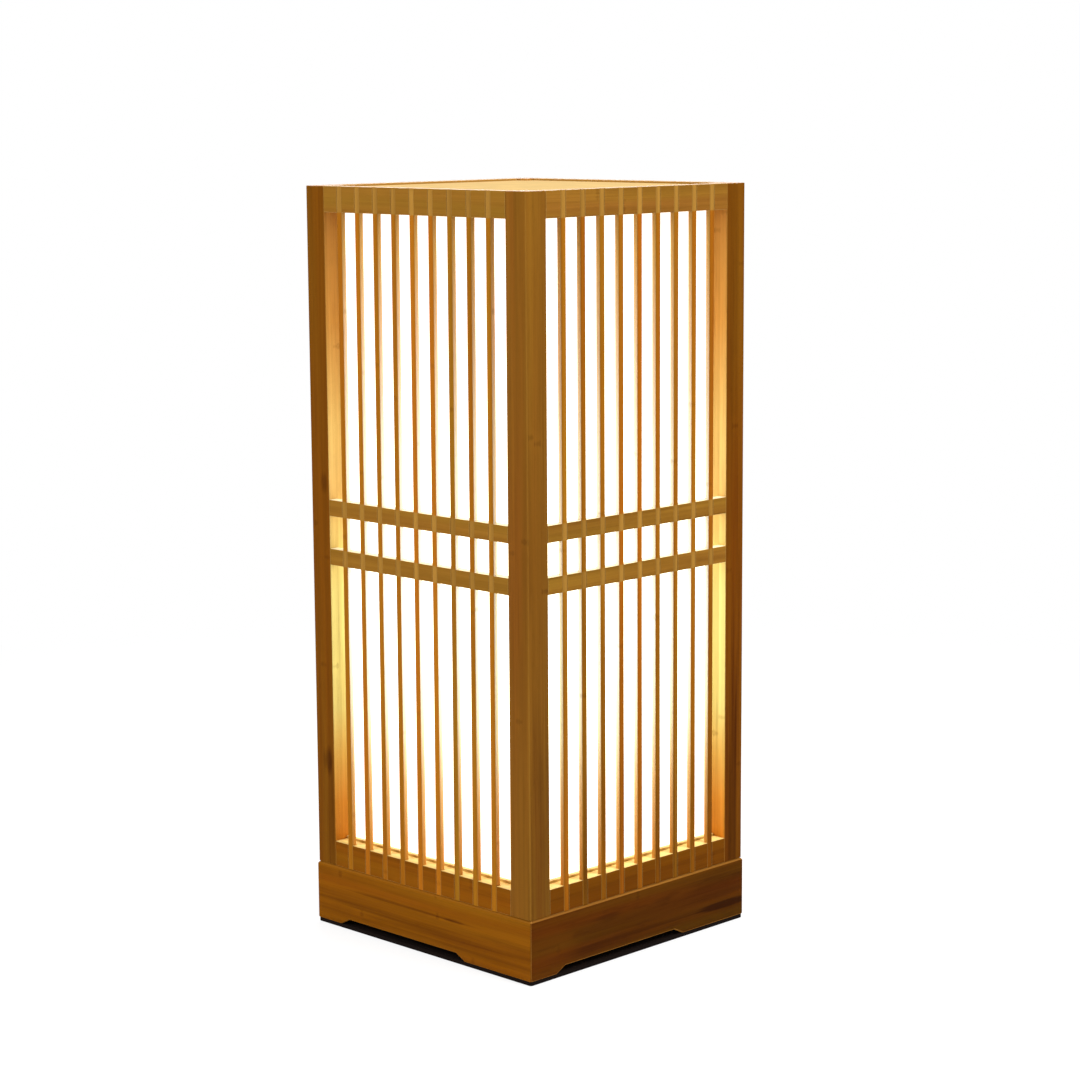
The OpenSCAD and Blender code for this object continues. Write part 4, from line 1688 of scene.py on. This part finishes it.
@dataclass
class Lattice(Assembly):
    """Corner posts, half-lapped rails and slats of the lantern.

    Attributes:
        body: The CAD body.
        half: Half the lantern's side.
        post: Side of a post.
        foot: Height of the lantern's foot.
        top: Height of its top.
        slats: Number of slats on a face.
        slat_width: Width of a slat.
        slat_depth: Depth of a slat.
        slat_ease: Radius of a slat's edges.
        post_ease: Width taken off a post's edges, and off a bead's.
        rail_ease: Width taken off a rail's edges.
    """

    body: str = "lantern"
    half: float = 74.5
    post: float = 12.9
    foot: float = 31.0
    top: float = 365.0
    slats: int = 9
    slat_width: float = 3.2
    slat_depth: float = 2.6
    slat_ease: float = 0.22
    post_ease: float = 0.3
    rail_ease: float = 0.2

    def build(self) -> None:
        """Builds every stick of the lattice."""
        for seed, corner in enumerate(("near", "right", "far", "left"), 60):
            finish = POST_BAMBOO if corner in ("near", "far") else SIDE_POST_BAMBOO
            self.ease(
                f"post_{corner}", f"{corner}_post", self.post_ease, finish, "bamboo", seed, 0.5
            )
        for row, level in enumerate(("top", "upper", "lower", "foot")):
            for side in Side:
                finish = RAIL_BAMBOO
                if level == "foot":
                    # The right face's foot rail takes the darker copy, as painted shade
                    finish = SHADED_RIGHT_FOOT_RAIL_BAMBOO if side is Side.RIGHT else FOOT_RAIL_BAMBOO
                self.ease(
                    f"rail_{level}_{side.word}", f"{side.word}_{level}_rail", self.rail_ease,
                    finish, "bamboo", 70 + 4 * row + side.value, 0.5,
                )
        for side in Side:
            self.slat_row(side)
        for seed, level in enumerate(("sill", "head"), 90):
            self.ease(
                f"{level}_beads", f"sheet_{level}_beads", self.post_ease, GLOW_LIT_BEAD_BAMBOO,
                "bamboo_light", seed,
            )

    def slat_row(self, side: Side) -> None:
        """Builds the upright slats of one face.

        Args:
            side: The face.
        """
        # The front face's slats take the lighter copy, as painted light
        finish = LIT_FRONT_SLAT_BAMBOO if side is Side.FRONT else SLAT_BAMBOO
        opening = 2 * (self.half - self.post)
        gap = (opening - self.slats * self.slat_width) / (self.slats + 1)
        recipe = Recipe(f"slats_{side.word}_tree", {
            "Count": self.slats,
            "First": (-opening / 2 + gap + self.slat_width / 2) * MM,
            "Pitch": (self.slat_width + gap) * MM,
            "Slat Width": self.slat_width * MM,
            "Slat Depth": self.slat_depth * MM,
            "Edge Radius": self.slat_ease * MM,
            "Foot": self.foot * MM,
            "Top": self.top * MM,
            "Face": self.half * MM,
            "Turn": side.turn,
            "Material": finish.material(),
        })
        stick = recipe.node("GeometryNodeCurvePrimitiveLine", feeds={
            "Start": recipe.vector(0.0, 0.0, recipe["Foot"]),
            "End": recipe.vector(0.0, 0.0, recipe["Top"]),
        })
        section = recipe.node("GeometryNodeFilletCurve", {"mode": "POLY"}, {
            "Curve": recipe.node("GeometryNodeCurvePrimitiveQuadrilateral", feeds={
                "Width": recipe["Slat Width"], "Height": recipe["Slat Depth"],
            }),
            "Radius": recipe["Edge Radius"],
        })
        slat = recipe.node("GeometryNodeCurveToMesh", feeds={
            "Curve": stick, "Profile Curve": section, "Fill Caps": True,
        })
        depth = recipe["Slat Depth"] * 0.5 - recipe["Face"]
        row = recipe.node("GeometryNodeMeshLine", feeds={
            "Count": recipe["Count"],
            "Start Location": recipe.vector(recipe["First"], depth, 0.0),
            "Offset": recipe.vector(recipe["Pitch"], 0.0, 0.0),
        })
        placed = recipe.node(
            "GeometryNodeInstanceOnPoints", feeds={"Points": row, "Instance": slat}
        )
        around = recipe.moved(placed, Rotation=recipe.vector(0.0, 0.0, recipe["Turn"]))
        piece = recipe.serve(around, f"{side.word}_slats")
        lay_grain(piece, 80 + side.value)
        self.settle(piece, finish, "bamboo_light", f"slats_{side.word}")


@dataclass
class Shade(Assembly):
    """The milky sheets behind the lattice and in its top.

    Attributes:
        body: The CAD body.
    """

    body: str = "lantern"

    def build(self) -> None:
        """Gives the five sheets their finishes."""
        for side in Side:
            self.keep(f"film_{side.word}", SIDE_SHEET, "diffuser")
        self.keep("film_top", TOP_SHEET, "diffuser")


# ---------------------------------------------------------------------------------------------
# Studio
# ---------------------------------------------------------------------------------------------


@dataclass(frozen=True)
class Softbox:
    """One soft lamp of the studio.

    Attributes:
        name: Its name.
        place: Where it stands, in metres.
        size: Side of its square face, in metres.
        power: Its power in watts.
    """

    name: str
    place: tuple[float, float, float]
    size: float
    power: float


@dataclass
class Studio:
    """Pale floor, white surroundings, soft lamps and the photograph's camera.

    Attributes:
        sensor: Width of the camera's sensor, in millimetres.
        lens: Focal length, in millimetres.
        start: Distance from the camera where its view starts, in metres.
        eye: The camera's place, in metres.
        yaw: Direction of view round the upright axis, in radians from +X.
        pitch: How far the view points down, in radians.
        roll: Turn of the camera about its view, in radians.
        aim: What the lamps point at, in metres.
        ambient: Brightness of the surroundings for light, not for the camera.
        spread: Half the floor's side, in metres.
        level: Height of the floor, a hair under the lamp, in metres.
        fade: Distances from the lamp between which the floor turns plain white, in metres.
        pale: Grey of the floor as a light sees it.
        shaded: Grey that the lamps add to the floor's own white near the lamp.
        glow: The floor's own white there.
        lamps: The soft lamps.
    """

    sensor: float = 36.0
    lens: float = 90.6495
    start: float = 0.05
    eye: tuple[float, float, float] = (0.929774, -0.928479, 0.405510)
    yaw: float = 2.35242
    pitch: float = 0.16104
    roll: float = 0.00640
    aim: tuple[float, float, float] = (0.0, 0.0, 0.19)
    ambient: float = 0.36
    spread: float = 6.0
    level: float = -0.0002
    fade: tuple[float, float] = (0.30, 0.80)
    pale: float = 0.58
    shaded: float = 0.22
    glow: float = 0.82
    lamps: tuple[Softbox, ...] = (
        Softbox("front_softbox", (-0.35, -1.65, 1.15), 0.9, 22.0),
        Softbox("right_softbox", (1.20, 0.30, 1.40), 0.8, 24.5),
        Softbox("back_softbox", (-1.35, 1.30, 1.10), 1.0, 18.0),
        Softbox("top_softbox", (0.0, 0.0, 1.90), 1.0, 5.0),
    )

    def build(self) -> None:
        """Builds the whole studio."""
        self.camera()
        self.surroundings()
        self.floor()
        for lamp in self.lamps:
            self.light(lamp)
        bpy.context.scene.view_settings.view_transform = "Standard"
        LOG.info("studio: %d lamps", len(self.lamps))

    def camera(self) -> None:
        """Stands the camera where the photograph was taken from."""
        level = math.cos(self.pitch)
        look = Vector((
            level * math.cos(self.yaw), level * math.sin(self.yaw), -math.sin(self.pitch)
        ))
        side = look.cross(Vector((0, 0, 1))).normalized()
        down = look.cross(side)
        right = math.cos(self.roll) * side + math.sin(self.roll) * down
        fall = -math.sin(self.roll) * side + math.cos(self.roll) * down
        data = bpy.data.cameras.new("photo_camera")
        data.sensor_width, data.lens, data.clip_start = self.sensor, self.lens, self.start
        camera = bpy.data.objects.new("photo_camera", data)
        turn = Matrix((right, -fall, -look)).transposed().to_4x4()
        camera.matrix_world = Matrix.Translation(self.eye) @ turn
        bpy.context.scene.collection.objects.link(camera)
        bpy.context.scene.camera = camera

    @staticmethod
    def seen(web: Web) -> Socket:
        """Tells rays that show the surroundings from those that only carry their light.

        Args:
            web: The tree of the world or of the floor's material.

        Returns:
            1 for what is seen directly, in a mirror or through glass.
        """
        rays = web.node("ShaderNodeLightPath", out="Is Camera Ray")
        outputs = rays.raw.node.outputs
        through = Socket(web, outputs["Is Transmission Ray"])
        return (rays + Socket(web, outputs["Is Glossy Ray"]) + through).clamp()

    def surroundings(self) -> None:
        """Makes the world white to look at and plainly bright as a light."""
        world = bpy.data.worlds.new("studio_white")
        bpy.context.scene.world = world
        world.use_nodes = True
        web = Web(world.node_tree)
        strength = self.seen(web) * (1.0 - self.ambient) + self.ambient
        backdrop = web.node(
            "ShaderNodeBackground", feeds={"Color": (1.0, 1.0, 1.0), "Strength": strength}
        )
        web.node("ShaderNodeOutputWorld", feeds={"Surface": backdrop})

    def floor(self) -> None:
        """Lays the pale floor, which looks white and keeps the lamp's shadow."""
        form = bmesh.new()
        bmesh.ops.create_grid(form, x_segments=1, y_segments=1, size=self.spread)
        for vertex in form.verts:
            vertex.co.z = self.level
        piece = stand("pale_floor", form)
        material = bpy.data.materials.new("pale_floor")
        material.use_nodes = True
        web = Web(material.node_tree)
        place = web.node("ShaderNodeTexCoord", out="Object")
        reach = web.vectors("LENGTH", place, out="Value")
        plain, shadow = (
            web.node("ShaderNodeBsdfDiffuse", feeds={"Color": (grey, grey, grey)})
            for grey in (self.pale, self.shaded)
        )
        white, backdrop = (
            web.node("ShaderNodeEmission", feeds={"Color": (1.0, 1.0, 1.0), "Strength": glow})
            for glow in (self.glow, 1.0)
        )
        near = web.node("ShaderNodeAddShader", feeds={0: shadow, 1: white})
        shown = web.node(
            "ShaderNodeMixShader", feeds={0: reach.rise(*self.fade), 1: near, 2: backdrop}
        )
        surface = web.node("ShaderNodeMixShader", feeds={0: self.seen(web), 1: plain, 2: shown})
        web.node("ShaderNodeOutputMaterial", feeds={"Surface": surface})
        piece.data.materials.append(material)
        piece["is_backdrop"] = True

    def light(self, lamp: Softbox) -> None:
        """Hangs one soft lamp, aimed at the lantern.

        Args:
            lamp: The lamp.
        """
        data = bpy.data.lights.new(lamp.name, "AREA")
        data.size, data.energy = lamp.size, lamp.power
        light = bpy.data.objects.new(lamp.name, data)
        look = (Vector(self.aim) - Vector(lamp.place)).to_track_quat("-Z", "Y")
        light.matrix_world = Matrix.Translation(lamp.place) @ look.to_matrix().to_4x4()
        bpy.context.scene.collection.objects.link(light)


def corners(box: Iterable[Vector]) -> list[list[float]]:
    """A box's two corners as plain lists."""
    return [list(corner) for corner in box]


def main() -> None:
    """Loads the frame, builds the studio and the lamp and works out both boxes."""
    logging.basicConfig(level=logging.INFO, format="%(name)s: %(message)s")
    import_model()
    cad = corners(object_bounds())
    for group in (Studio(), Plinth(), Lampholder(), Bulb(), Lattice(), Shade()):
        group.build()
        LOG.info("%s is built", type(group).__name__)
    {"cad": cad, "visual": corners(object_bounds())}


if __name__ == "__main__":
    main()
